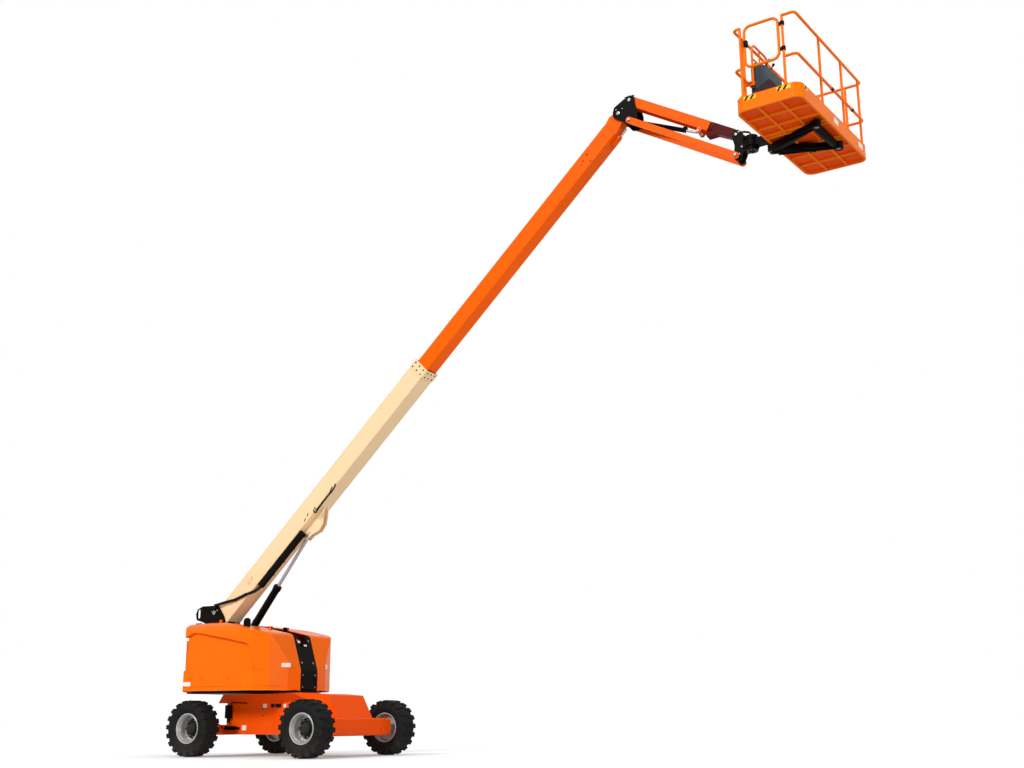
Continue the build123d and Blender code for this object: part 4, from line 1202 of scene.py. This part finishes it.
@dataclass
class BaseBoom(SubAssembly):
    """Fittings of the base boom: hoses, clips, carrier ends, lug pins, wear pad screws.

    Args:
        half_width: half the width of the boom's box.
        top: height of its upper face over the pivot's line.
        bottom: height of its lower face.
    """

    half_width: float = 0.150
    top: float = 0.015
    bottom: float = -0.285

    def build(self) -> None:
        """Builds the base boom's fittings."""
        self._hoses()
        self._loop()
        self._lugs()
        self._slots()
        self._front_band()

    def _hoses(self) -> None:
        """Builds the bundle of hoses from the pivot into the carrier, and its clips."""
        route = (
            (-0.010, -0.207, 0.062), (0.110, -0.207, 0.058), (0.270, -0.192, -0.040),
            (0.430, -0.176, -0.150), (0.650, -0.176, -0.255), (0.790, -0.166, -0.338),
            (0.870, -0.112, -0.338), (0.914, -0.112, -0.338),
        )
        strands = Shaper(self.frame)
        for along, across in ((0.016, 0.0048), (0.0, 0.0024), (-0.016, 0.0048)):
            strands.pipe([(u, y + across, w + along) for u, y, w in route], 0.0095, 0.040, 12)
        hoses = self.shop.publish(strands, "boom_hose_strands", self.body, HOSE)
        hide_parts("boom_hoses")
        with self.piece("hose_clips", BLACK_PAINT) as clips:
            for u, y, w in (route[1], route[3], route[4]):
                clips.block((u, y, w), (0.022, 0.040, 0.044), 0.004)
                reach = -y - self.half_width + 0.004
                clips.block((u, (y - self.half_width) / 2, w), (0.016, reach, 0.014), 0.002)

    def _loop(self) -> None:
        """Builds the hose loops beside the lift lug and the hose carrier's straps."""
        with self.piece("lug_hose_loop", HOSE) as loop:
            outer = (
                (2.46, -0.150, -0.250), (2.46, -0.172, -0.330), (2.62, -0.176, -0.318),
                (2.80, -0.174, -0.312), (2.92, -0.176, -0.318), (3.02, -0.172, -0.300),
                (3.02, -0.150, -0.262),
            )
            inner = (
                (2.50, -0.150, -0.230), (2.50, -0.166, -0.300), (2.70, -0.168, -0.296),
                (2.86, -0.166, -0.296), (2.96, -0.150, -0.250),
            )
            loop.pipe(outer, 0.011, 0.03, 12)
            loop.pipe(inner, 0.008, 0.025, 12)
        with self.piece("hose_carrier_straps", BLACK_PAINT) as straps:
            for u in (1.20, 1.48, 1.76, 2.035):
                straps.block((u, -0.112, -0.3805), (0.030, 0.078, 0.006), 0.002)
                straps.block((u, -0.1485, -0.335), (0.030, 0.005, 0.096), 0.0015)
            straps.block((2.055, -0.112, -0.330), (0.014, 0.080, 0.100), 0.003)

    def _lugs(self) -> None:
        """Builds the ends of the lift cylinder's upper pin."""
        with self.piece("lift_eye_pins", ZINC) as pins:
            for side in SIDES:
                pins.pin(beside(side, 2.060, 0.056, -0.385), 0.036, 0.020)
                pins.bolt(beside(side, 2.125, 0.056, -0.395), 0.010, 0.009)

    def _slots(self) -> None:
        """Builds the slots and a hole in the boom's side as flat black marks of painted shade, the
        hose hook and the weld seams.
        """
        with self.piece("boom_slots", BLACK_PAINT) as slots:
            for u, w in ((2.24, -0.235), (2.33, -0.215)):
                tilted = beside(-1, u, self.half_width, w) @ Matrix.Rotation(0.4, 4, "Z")
                slots.label(tilted, 0.060, 0.016, 0.007)
            slots.rod(0.010, 0.0008, beside(-1, 0.90, self.half_width, -0.118), 20)
        with self.piece("hose_hook", CREAM_PAINT) as hook:
            wire = (
                (0.80, -0.150, -0.150), (0.80, -0.185, -0.150),
                (0.90, -0.185, -0.118), (0.90, -0.150, -0.118),
            )
            hook.pipe(wire, 0.006, 0.012, 10)
            hook.block((0.80, -0.153, -0.150), (0.045, 0.006, 0.045), 0.002)
        with self.piece("boom_weld_seams", CREAM_PAINT) as seams:
            for side, w in product(SIDES, (self.top - 0.030, self.bottom + 0.030)):
                y = side * self.half_width
                seams.pipe(((0.16, y, w), (5.21, y, w)), 0.0022, 0, 8)

    def _front_band(self) -> None:
        """Builds the wear pads at the boom's mouth and their screws."""
        with self.piece("wear_pad_screws", HUB_IRON) as screws:
            for u in (5.255, 5.335):
                for y in (-0.09, 0.0, 0.09):
                    screws.bolt(aim((u, y, 0.025), UP), 0.010, 0.008)
                    screws.bolt(aim((u, y, -0.295), DOWN), 0.010, 0.008)
                for w, side in product((-0.235, -0.135, -0.035), SIDES):
                    screws.bolt(beside(side, u, 0.160, w), 0.010, 0.008)
        with self.piece("wear_pads", BLACK_PLASTIC) as pads:
            for w in (-0.009, -0.271):
                pads.block((5.374, 0.0, w), (0.010, 0.22, 0.014), 0.002)


@dataclass
class LiftCylinder(SubAssembly):
    """Fittings of the lift cylinder, in a frame whose Z runs up its axis."""

    def build(self) -> None:
        """Builds the gland, the barrel's bands, the port and its pipe."""
        with self.piece("lift_gland", BLACK_PAINT) as gland:
            nut = (
                (0.030, 1.640), (0.066, 1.640), (0.066, 1.700),
                (0.060, 1.716), (0.044, 1.722), (0.030, 1.722),
            )
            gland.hollow(nut, Matrix(), 40)
            for z in (0.32, 1.00):
                gland.collar(0.057, 0.062, z, z + 0.03, Matrix(), 40)
            pipe = ((0.0, 0.066, 0.26), (0.0, 0.076, 0.30), (0.0, 0.076, 1.56), (0.0, 0.060, 1.60))
            gland.pipe(pipe, 0.008, 0.012, 12)
            gland.block((0.0, 0.066, 0.25), (0.05, 0.035, 0.07), 0.004)


@dataclass
class Nose(SubAssembly):
    """Fittings at the fly boom's tip: pins, level cylinder, keepers and small slots."""

    def build(self) -> None:
        """Builds the nose's fittings."""
        self._tip()
        self._bracket()

    def _tip(self) -> None:
        """Builds the slots of the fly boom's end as flat black marks of painted shade, its seams,
        and the level cylinder.
        """
        tip = {"body": "fly", "frame": boom_frame()}
        with self.piece("fly_slots", BLACK_PAINT, **tip) as slots:
            spots = (
                (9.272, -0.150, 0.022), (9.330, -0.125, 0.026),
                (9.440, -0.105, 0.040), (9.400, -0.225, 0.030),
            )
            for (u, w, width), side in product(spots, (-1, 1)):
                slots.label(beside(side, u, 0.125, w), width, 0.014, 0.005)
        with self.piece("fly_weld_seams", ORANGE_PAINT, **tip) as seams:
            for side in SIDES:
                y = side * 0.1252
                seams.pipe(((9.815, y, -0.016), (9.815, y, -0.250)), 0.0028, 0, 8)
        with self.piece("level_housing", ORANGE_PAINT, **tip) as housing:
            housing.block((9.865, 0.0, -0.286), (0.170, 0.090, 0.050), 0.006)
            mouth = aim((9.950, 0.0, -0.298), (1, 0, 0.02))
            housing.collar(0.016, 0.024, 0, 0.014, mouth, 24)
        with self.piece("level_rod", CHROME, **tip) as rod:
            rod.rod(0.015, 0.150, aim((9.945, 0.0, -0.298), (1, 0, 0.02)), 24)

    def _bracket(self) -> None:
        """Builds the nose bracket's pins, bolts and keepers."""
        with self.piece("nose_pins", ZINC) as pins:
            hinges = ((5.870, 9.200, 0.030, 0.010), (6.050, 9.375, 0.024, 0.0015))
            for (x, z, radius, height), side in product(hinges, SIDES):
                pins.pin(beside(side, x, 0.128, z), radius, height)
            for (x, z), side in product(((5.835, 9.265), (5.935, 9.262), (5.985, 9.420)), SIDES):
                pins.bolt(beside(side, x, 0.118, z), 0.010, 0.009)
            for side in SIDES:
                pins.pin(beside(side, 6.050, 0.175, 9.035), 0.024, 0.008)
        with self.piece("nose_keepers", BLACK_PAINT) as keepers:
            for side in SIDES:
                keepers.block((5.885, side * 0.1205, 9.262), (0.13, 0.005, 0.028), 0.002)
                keepers.block((6.052, side * 0.1205, 9.425), (0.16, 0.005, 0.026), 0.002)


@dataclass
class Jib(SubAssembly):
    """Fittings of the jib: pins, seams, straps, link bosses and the cylinder's gland.

    Args:
        length: distance between the jib's two pivots.
    """

    length: float = 1.86

    def build(self) -> None:
        """Builds the jib's fittings."""
        self._beam()
        self._links()
        self._gland()

    def _beam(self) -> None:
        """Builds the beam's pins, weld seams and end straps."""
        with self.piece("jib_eye_pins", ZINC) as pins:
            for side in SIDES:
                pins.pin(beside(side, 1.277, 0.09, -0.113), 0.022, 0.012)
                pins.bolt(beside(side, 1.277, 0.09, -0.070), 0.008, 0.007)
        with self.piece("jib_weld_seams", ORANGE_PAINT) as seams:
            for side, (end, w) in product(SIDES, ((1.39, 0.052), (1.22, -0.052))):
                y = side * 0.0902
                seams.pipe(((-0.02, y, w), (end, y, w)), 0.002, 0, 8)
        # The end straps wear the same orange with painted shade
        with self.piece("jib_end_straps", SHADED_ORANGE_PAINT) as straps:
            for side in SIDES:
                straps.block((1.43, side * 0.0635, 0.0), (0.050, 0.007, 0.120), 0.002)
            straps.block((1.60, 0.0, 0.0785), (0.36, 0.10, 0.005), 0.002)

    def _links(self) -> None:
        """Builds the bosses at both ends of the two parallel links."""
        sink_x = LINK_SPACING * sin(radians(JIB_DROP))
        sink_z = -LINK_SPACING * cos(radians(JIB_DROP))
        for name, side in (("left", 1), ("right", -1)):
            with self.piece(f"link_bosses_{name}", ORANGE_PAINT, f"link_{name}") as bosses:
                for s in (0.0, self.length):
                    spot = beside(side, s + sink_x, 0.163, sink_z)
                    bosses.collar(0.0255, 0.042, 0, 0.004, spot, 32)

    def _gland(self) -> None:
        """Builds the jib cylinder's gland, band and pipe."""
        along = aim(JIB_BARREL_BASE, JIB_BARREL_WAY, NORTH)
        with self.piece("jib_gland", BLACK_PAINT, "jib_barrel", along) as gland:
            nut = ((0.020, 0.800), (0.040, 0.800), (0.040, 0.838), (0.034, 0.850), (0.020, 0.850))
            gland.hollow(nut, Matrix(), 32)
            gland.collar(0.033, 0.038, 0.10, 0.125, Matrix(), 32)
            pipe = (
                (0.0, -0.040, 0.16), (0.0, -0.046, 0.20), (0.0, -0.046, 0.74), (0.0, -0.036, 0.78),
            )
            gland.pipe(pipe, 0.006, 0.01, 10)


@dataclass
class JibEnd(SubAssembly):
    """Fittings of the end bracket and the rotator."""

    def build(self) -> None:
        """Builds the bracket's pins and hoses and the rotator's screws and ribs."""
        x, _, z = END_BRACKET_PIN
        with self.piece("bracket_pins", ZINC) as pins:
            for side in SIDES:
                pins.pin(beside(side, x, 0.096, z), 0.023, 0.008)
                pins.pin(beside(side, x, 0.175, z - LINK_SPACING), 0.024, 0.008)
                for dx, dz in ((0.045, 0.035), (0.075, -0.20), (0.030, -0.300)):
                    pins.bolt(beside(side, x + dx, 0.086, z + dz), 0.010, 0.009)
            for (height, way), k in product(((-0.042, 1), (-0.263, -1)), range(8)):
                angle = k * pi / 4
                spot = (ROTATOR_X + 0.062 * cos(angle), 0.062 * sin(angle), z + height)
                pins.bolt(aim(spot, (0, 0, way)), 0.009, 0.008)
        with self.piece("bracket_hoses", HOSE) as hoses:
            for y in (-0.03, 0.01):
                route = ((0.02, y, 0.02), (0.08, y, 0.055), (0.18, y, 0.02), (0.19, y, -0.036))
                hoses.pipe([(x + dx, y, z + dz) for dx, y, dz in route], 0.008, 0.03, 12)
        with self.piece("rotator_ribs", BLACK_PAINT, "platform", rotator_frame()) as ribs:
            for spot in around(Matrix.Translation((0, 0, z - 0.1525)), 12, 0.1045):
                ribs.block((0, 0, 0), (0.006, 0.014, 0.085), 0.002, spot)
            for height in (-0.100, -0.205):
                ribs.ring(0.104, 0.004, Matrix.Translation((0, 0, z + height)), 48, 8)


@dataclass
class Basket(SubAssembly):
    """Fittings of the work platform: ribs, stripes, rails, gate, console and pads.

    All places are in a frame at the middle of the skirt's lower edge.

    Args:
        half_x: half the platform's depth.
        half_y: half its length.
        inset: how far the rails' axes stand inside the skirt.
        rail_radius: radius of the rails.
        skirt: height of the skirt's upper edge.
        floor: height of the floor sheet.
        knee: height of the middle rail.
        top: height of the top rail.
        posts: X of the two posts beside the gate.
    """

    half_x: float = 0.455
    half_y: float = 1.220
    inset: float = 0.024
    rail_radius: float = 0.019
    skirt: float = 0.200
    floor: float = 0.046
    knee: float = 0.606
    top: float = 1.196
    posts: tuple[float, float] = (-0.338, 0.255)

    @property
    def rail_x(self) -> float:
        """Distance of the long rails from the middle."""
        return self.half_x - self.inset

    @property
    def rail_y(self) -> float:
        """Distance of the end rails from the middle."""
        return self.half_y - self.inset

    def build(self) -> None:
        """Builds the platform's fittings."""
        self._rails()
        self._gate()
        self._underside()
        self._stripes()
        self._labels()
        self._support()
        self._console()
        self._guard()
        self._pads()

    def _rails(self) -> None:
        """Builds the rails and posts with their foot gussets and end caps."""
        x, y = self.rail_x, self.rail_y
        left, right = self.posts
        rails = Shaper(self.frame)
        for z in (self.top, self.knee):
            loop = (
                (left, -y, z), (-x, -y, z), (-x, y, z), (x, y, z), (x, -y, z), (right, -y, z),
            )
            rails.pipe(loop, self.rail_radius, 0.055, 20)
        posts = (
            (left, -y, SOUTH), (right, -y, SOUTH), (-x, 0.300 - y, WEST), (x, -0.400, EAST),
            (x, 0.400, EAST), (x, y - 0.130, EAST), (-x, y - 0.130, WEST), (-x, 0.300, WEST),
            (-0.200, y, NORTH), (0.200, y, NORTH),
        )
        for post_x, post_y, outwards in posts:
            foot = Matrix.Translation((post_x, post_y, self.floor))
            rails.rod(0.0175, self.top - self.floor, foot, 20)
            seat = aim((post_x, post_y, self.skirt), outwards) @ Matrix.Translation((0, 0, -0.003))
            for way in SIDES:
                gusset = ((way * 0.014, -0.05), (way * 0.075, -0.05), (way * 0.014, 0.05))
                rails.plate(gusset[::way], seat, 0.006, 0.001)
        for post_x, z in product(self.posts, (self.top, self.knee)):
            cap = ((0.022, -0.004), (0.024, 0), (0.022, 0.004))
            rails.solid(cap, aim((post_x, -y, z), EAST), 20)
        piece = self.shop.publish(rails, "smooth_rails", self.body, PLATFORM_PAINT)
        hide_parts("platform_rails")

    def _gate(self) -> None:
        """Builds the gate's loop, hinges and latch."""
        y = -self.rail_y
        left, right = self.posts[0] + 0.060, self.posts[1] - 0.060
        half = (left + right) / 2
        gate = Shaper(self.frame)
        loop = (
            (half, y, self.knee), (right, y, self.knee), (right, y, self.top),
            (left, y, self.top), (left, y, self.knee), (half, y, self.knee),
        )
        gate.pipe(loop, self.rail_radius, 0.090, 20)
        piece = self.shop.publish(gate, "gate_loop", "gate", PLATFORM_PAINT)
        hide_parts("gate")
        with self.piece("gate_hinges", BLACK_PAINT, "gate") as hinges:
            post = self.posts[1]
            for z in (self.knee + 0.090, self.top - 0.140):
                spot = Matrix.Translation((post, y, z))
                hinges.collar(0.0184, 0.0295, 0, 0.05, spot, 28)
                hinges.block((post - 0.042, y, z + 0.025), (0.040, 0.020, 0.046), 0.003)
            latch = (left + 0.018, y - 0.004, self.top - 0.25)
            hinges.block(latch, (0.050, 0.052, 0.090), 0.006)

    def _underside(self) -> None:
        """Builds the ribs under the floor, lightened with painted highlight, a thin sheet of
        painted shade below the floor, and the skirt's rolled hem.
        """
        # The ribs' paint carries a painted highlight of the light from below
        with self.piece("floor_ribs", RIB_PAINTED_LIGHT) as ribs:
            for x in (-0.150, 0.150):
                ribs.block((x, 0, 0.0175), (0.016, 2.36, 0.033), 0.003)
            for y in (-0.870, -0.560, -0.330, -0.250, 0.250, 0.330, 0.560, 0.870):
                ribs.block((0, y, 0.0175), (0.84, 0.016, 0.033), 0.003)
        # A thin sheet under the floor that carries its painted shade
        with self.piece("floor_shade_sheet", RIB_SHADE) as sheet:
            sheet.block((0, 0, 0.0388), (0.845, 2.375, 0.0018), 0.0)
        with self.piece("skirt_hem", PLATFORM_PAINT) as hem:
            x, y, z = self.half_x - 0.004, self.half_y - 0.004, self.skirt
            loop = ((0, -y, z), (x, -y, z), (x, y, z), (-x, y, z), (-x, -y, z), (0, -y, z))
            hem.pipe(loop, 0.0055, 0.126, 10)

    def _stripes(self) -> None:
        """Builds the black and yellow hazard stripes on the skirt."""
        low, high, pitch = 0.136, 0.192, 0.080
        end_face, front_face = aim((0, -self.half_y, 0), SOUTH), aim((self.half_x, 0, 0), EAST)
        yellow, black = Shaper(self.frame), Shaper(self.frame)
        strips = (
            (end_face, -0.325, -0.155), (end_face, 0.130, 0.325), (front_face, -1.090, -0.990),
        )
        for face, start, end in strips:
            yellow.plate(((start, low), (end, low), (end, high), (start, high)), face, 0.0010)
            raised = face @ Matrix.Translation((0, 0, 0.0009))
            for k in range(int((end - start) / pitch)):
                x = start + 0.002 + k * pitch
                bar = ((x, low), (x + 0.034, low), (x + 0.074, high), (x + 0.040, high))
                black.plate(bar, raised, 0.0006)
        self.shop.publish(yellow, "hazard_yellow", self.body, WARNING_YELLOW)
        self.shop.publish(black, "hazard_black", self.body, BLACK_PLASTIC)

    def _labels(self) -> None:
        """Builds the labels on the skirt."""
        with self.piece("skirt_labels", LABEL_WHITE) as labels:
            for x, y, way in (
                (self.half_x, 0.0, EAST), (-self.half_x, 0.35, WEST), (self.half_x, 0.92, EAST)
            ):
                labels.label(aim((x, y, 0.115), way), 0.16, 0.080)

    def _support(self) -> None:
        """Builds the pins, collars and tubes of the support under the floor."""
        with self.piece("support_pins", ZINC) as pins:
            for y in (-0.395, 0.395):
                pins.pin(aim((0.325, y, -0.0805), DOWN), 0.034, 0.016)
                for angle in (0.8, 2.4, 4.0, 5.5):
                    spot = (0.325 + 0.046 * cos(angle), y + 0.046 * sin(angle), -0.0805)
                    pins.bolt(aim(spot, DOWN), 0.008, 0.007)
            for y in (-0.045, 0.045):
                pins.bolt(aim((-0.487, y, -0.0805), DOWN), 0.014, 0.012)
        with self.piece("support_tubes", BLACK_PAINT) as tubes:
            flange = ((0.036, 0), (0.066, 0), (0.066, 0.012), (0.060, 0.020), (0.036, 0.020))
            for side in SIDES:
                arm = ((-0.425, side * 0.10, -0.088), (0.27, side * 0.355, -0.088))
                tubes.pipe(arm, 0.012, 0, 12)
                tubes.hollow(flange, aim((0.325, side * 0.395, -0.0800), DOWN), 36)
            tubes.block((0.29, 0, -0.084), (0.045, 0.66, 0.012), 0.003)
            hose = ((-0.465, 0.0, -0.092), (-0.245, 0.06, -0.094), (0.035, 0.30, -0.092))
            tubes.pipe(hose, 0.009, 0.06, 12)

    def console_frame(self) -> Matrix:
        """Gives the control console's frame, on the floor below it."""
        return self.frame @ Matrix.Translation((0.040 - self.rail_x, -0.55, self.floor))

    def _console(self) -> None:
        """Builds the console's panel, levers, switches and stop button."""
        foot = self.console_frame()
        face = aim((0.155, 0, 0.787), (0.565, 0, 0.825), WEST)
        with self.piece("console_panel", BLACK_PLASTIC, frame=foot) as panel:
            panel.block((0, 0, 0.004), (0.40, 0.18, 0.012), 0.003, face)
            for x in (-0.205, 0.205):
                panel.block((x, 0, -0.05), (0.014, 0.16, 0.12), 0.004, face)
        with self.piece("console_levers", BLACK_PLASTIC, frame=foot) as levers:
            stick = (
                (0.030, 0), (0.020, 0.018), (0.008, 0.024), (0.008, 0.075),
                (0.018, 0.081), (0.018, 0.109), (0.010, 0.119),
            )
            for x in (-0.13, 0.02):
                levers.solid(stick, face @ Matrix.Translation((x, -0.01, 0.010)), 20)
            for k in range(6):
                spot = face @ Matrix.Translation((-0.17 + k * 0.062, 0.062, 0.010))
                levers.solid(((0.006, 0), (0.006, 0.016), (0.004, 0.020)), spot, 12)
        with self.piece("stop_button", STOP_RED, frame=foot) as stop:
            knob = ((0.010, 0), (0.010, 0.012), (0.022, 0.016), (0.022, 0.026), (0.014, 0.032))
            stop.solid(knob, face @ Matrix.Translation((0.15, -0.02, 0.010)), 24)

    def _guard(self) -> None:
        """Builds the hoop round the console and its cables."""
        foot, x = self.console_frame(), 0.045
        with self.piece("console_guard", PLATFORM_PAINT, frame=foot) as guard:
            hoop = ((x, -0.265, 0.50), (x, -0.265, 1.12), (x, 0.265, 1.12), (x, 0.265, 0.50))
            guard.pipe(hoop, 0.015, 0.11, 16)
            guard.pipe(((x, -0.02, 0.84), (x, -0.02, 1.118)), 0.011, 0, 12)
            guard.pipe(((x, -0.262, 0.90), (x, 0.262, 0.90)), 0.011, 0, 12)
            for side in SIDES:
                guard.block((-0.008, side * 0.24, 0.545), (0.13, 0.026, 0.05), 0.004)
                guard.pipe(((-0.040, side * 0.265, 0.56), (x, side * 0.265, 0.56)), 0.012, 0, 12)
        with self.piece("console_cables", HOSE, frame=foot) as cables:
            for y in (-0.10, 0.0, 0.10):
                route = (
                    (0.10, y, 0.475), (0.10, y, 0.30), (0.0, y * 0.6, 0.16),
                    (-0.022, y * 0.5, 0.012),
                )
                cables.pipe(route, 0.009, 0.05, 12)

    def _pads(self) -> None:
        """Builds the clamps on the middle rail and the document box."""
        with self.piece("rail_clamps", BLACK_PLASTIC) as clamps:
            section = ((0.0192, 0), (0.0235, 0.002), (0.0235, 0.054), (0.0192, 0.056))
            for x, y in ((self.rail_x, 0.0), (self.rail_x, 0.75), (-self.rail_x, 0.62)):
                clamps.hollow(section, aim((x, y - 0.028, self.knee), NORTH), 24)
        with self.piece("document_box", BLACK_PLASTIC) as box:
            box.block((0.050 - self.rail_x, 0.05, 0.306), (0.06, 0.24, 0.17), 0.008)
            box.block((0.083 - self.rail_x, 0.05, 0.306), (0.006, 0.20, 0.13), 0.002)


@dataclass
class Studio:
    """Floor, backdrop light, lamps and camera.

    Args:
        sun_strength: strength of the key lamp.
        sky_strength: strength of the white room as a light.
        paper_glow: how bright the floor paper is seen by the camera.
    """

    sun_strength: float = 2.1
    sky_strength: float = 0.40
    paper_glow: float = 0.70

    def build(self) -> None:
        """Builds the studio round the machine."""
        self._floor()
        self._world()
        self._lamps()
        self._camera()

    def _add(self, name: str, data: bpy.types.ID) -> bpy.types.Object:
        """Adds an object to the scene.

        Args:
            name: its name.
            data: its mesh, lamp or camera.

        Returns:
            The object.
        """
        thing = bpy.data.objects.new(name, data)
        bpy.context.scene.collection.objects.link(thing)
        return thing

    def _floor(self) -> None:
        """Builds the floor."""
        mesh = bmesh.new()
        bmesh.ops.create_grid(mesh, x_segments=1, y_segments=1, size=120.0)
        data = bpy.data.meshes.new("studio_floor")
        mesh.to_mesh(data)
        mesh.free()
        floor = self._add("studio_floor", data)
        data.materials.append(self._floor_paper())

    def _floor_paper(self) -> bpy.types.Material:
        """Makes matt white studio paper, whose bounce stands for the open studio round it, with a
        painted contact shadow in its glow.

        Returns:
            The material.
        """
        material = bpy.data.materials.new("studio_paper")
        tree = clear_tree(material)
        paper = add_node(tree, "BsdfDiffuse", {"Color": linear("#b0b0b0")})
        bounce = add_node(tree, "BsdfDiffuse", {"Color": linear("#dedede")})
        # Painted contact shadow: ambient occlusion softly darkens the paper's glow where the
        # machine stands close over it
        cover = add_node(tree, "AmbientOcclusion", {"Distance": 1.8})
        share = add_node(tree, "MapRange", {
            "Value": cover.outputs["AO"], "To Min": self.paper_glow * 0.12,
            "To Max": self.paper_glow,
        })
        light = {"Color": WHITE, "Strength": share.outputs["Result"]}
        glow = add_node(tree, "Emission", light)
        both = add_node(tree, "AddShader", {0: paper.outputs["BSDF"], 1: glow.outputs["Emission"]})
        mix = add_node(tree, "MixShader", {
            0: add_node(tree, "LightPath").outputs["Is Camera Ray"],
            1: bounce.outputs["BSDF"],
            2: both.outputs["Shader"],
        })
        add_node(tree, "OutputMaterial", {"Surface": mix.outputs["Shader"]})
        return material

    def _world(self) -> None:
        """Makes the room: white to look at and in gloss, softer as a light."""
        world = bpy.data.worlds.new("studio_world")
        bpy.context.scene.world = world
        tree = clear_tree(world)
        rays = add_node(tree, "LightPath").outputs
        seen = rays["Is Camera Ray"]
        for kind in ("Is Glossy Ray", "Is Transmission Ray"):
            either = add_node(tree, "Math", {0: seen, 1: rays[kind]}, operation="MAXIMUM")
            seen = either.outputs["Value"]
        sky = add_node(tree, "Background", {"Color": WHITE, "Strength": self.sky_strength})
        room = add_node(tree, "Background", {"Color": WHITE, "Strength": 1.0})
        mix = add_node(tree, "MixShader", {
            0: seen, 1: sky.outputs["Background"], 2: room.outputs["Background"],
        })
        add_node(tree, "OutputWorld", {"Surface": mix.outputs["Shader"]})

    def _lamps(self) -> None:
        """Hangs the key lamp over the camera's side and a lamp from the right."""
        lamps = (
            ("key_lamp", self.sun_strength, (0.12, 0.80, -0.58), 14.0),
            ("side_lamp", self.sun_strength * 0.90, (-0.93, 0.30, 0.02), 30.0),
        )
        for name, strength, way, spread in lamps:
            data = bpy.data.lights.new(name, "SUN")
            data.energy = strength
            data.angle = radians(spread)
            turn = Vector(way).to_track_quat("-Z", "Y").to_euler()
            self._add(name, data).rotation_euler = turn

    def _camera(self) -> None:
        """Places the camera as the photograph's was, and sets the view transform."""
        data = bpy.data.cameras.new("photo_camera")
        data.lens = CAMERA_LENS
        data.sensor_width = SENSOR_WIDTH
        data.sensor_fit = "HORIZONTAL"
        data.clip_end = 400.0
        turn = (
            Matrix.Rotation(radians(CAMERA_HEADING), 4, "Z")
            @ Matrix.Rotation(radians(90 + CAMERA_PITCH), 4, "X")
            @ Matrix.Rotation(radians(CAMERA_ROLL), 4, "Z")
        )
        camera = self._add("photo_camera", data)
        camera.matrix_world = Matrix.Translation(CAMERA_PLACE) @ turn
        bpy.context.scene.camera = camera
        bpy.context.scene.view_settings.view_transform = "Standard"


def dress_nodes(frame: dict, shop: Workshop) -> None:
    """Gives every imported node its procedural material.

    Args:
        frame: what the frame loader returned.
        shop: the workshop that holds the materials.
    """
    worn = {name: finish for finish, names in WEARERS.items() for name in names.split()}
    for name, node in frame["nodes"].items():
        finish = worn.get(name) or worn.get(name.split("_")[0], BLACK_PAINT)
        material = shop.library.get(finish)
        if not node.material_slots:
            node.data.materials.append(material)
        for slot in node.material_slots:
            slot.material = material
        LOG.info("%s wears %s", name, finish.name)


def plan_groups(shop: Workshop) -> list[SubAssembly]:
    """Lists the machine's groups of fittings from the ground up.

    Args:
        shop: the workshop that finishes their pieces.

    Returns:
        The groups, not built yet.
    """
    lift_frame = aim(LIFT_BASE, Vector(LIFT_EYE) - Vector(LIFT_BASE), NORTH)
    basket_frame = rotator_frame() @ Matrix.Translation(PLATFORM_MIDDLE)
    wheels = [Wheel(shop, f"wheel_{name}", centre=spot) for name, spot in WHEEL_PLACES.items()]
    return wheels + [
        Chassis(shop, "chassis"), Hood(shop, "hood_right", side=-1),
        Hood(shop, "hood_left", side=1), Exhaust(shop, "hood_right"),
        Turntable(shop, "turntable"), BaseBoom(shop, "boom", boom_frame()),
        LiftCylinder(shop, "lift_barrel", lift_frame), Nose(shop, "nose"),
        Jib(shop, "jib", jib_frame()), JibEnd(shop, "jib_end"),
        Basket(shop, "platform", basket_frame),
    ]


def main() -> None:
    """Loads the frame, dresses the machine and sets up the studio."""
    logging.basicConfig(level=logging.INFO, format="%(message)s")
    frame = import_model()
    shop = Workshop()
    dress_nodes(frame, shop)
    for group in plan_groups(shop):
        group.build()
        LOG.info("%s finished", type(group).__name__)
    Studio().build()
    LOG.info("%d pieces made", shop.made)


if __name__ == "__main__":
    main()
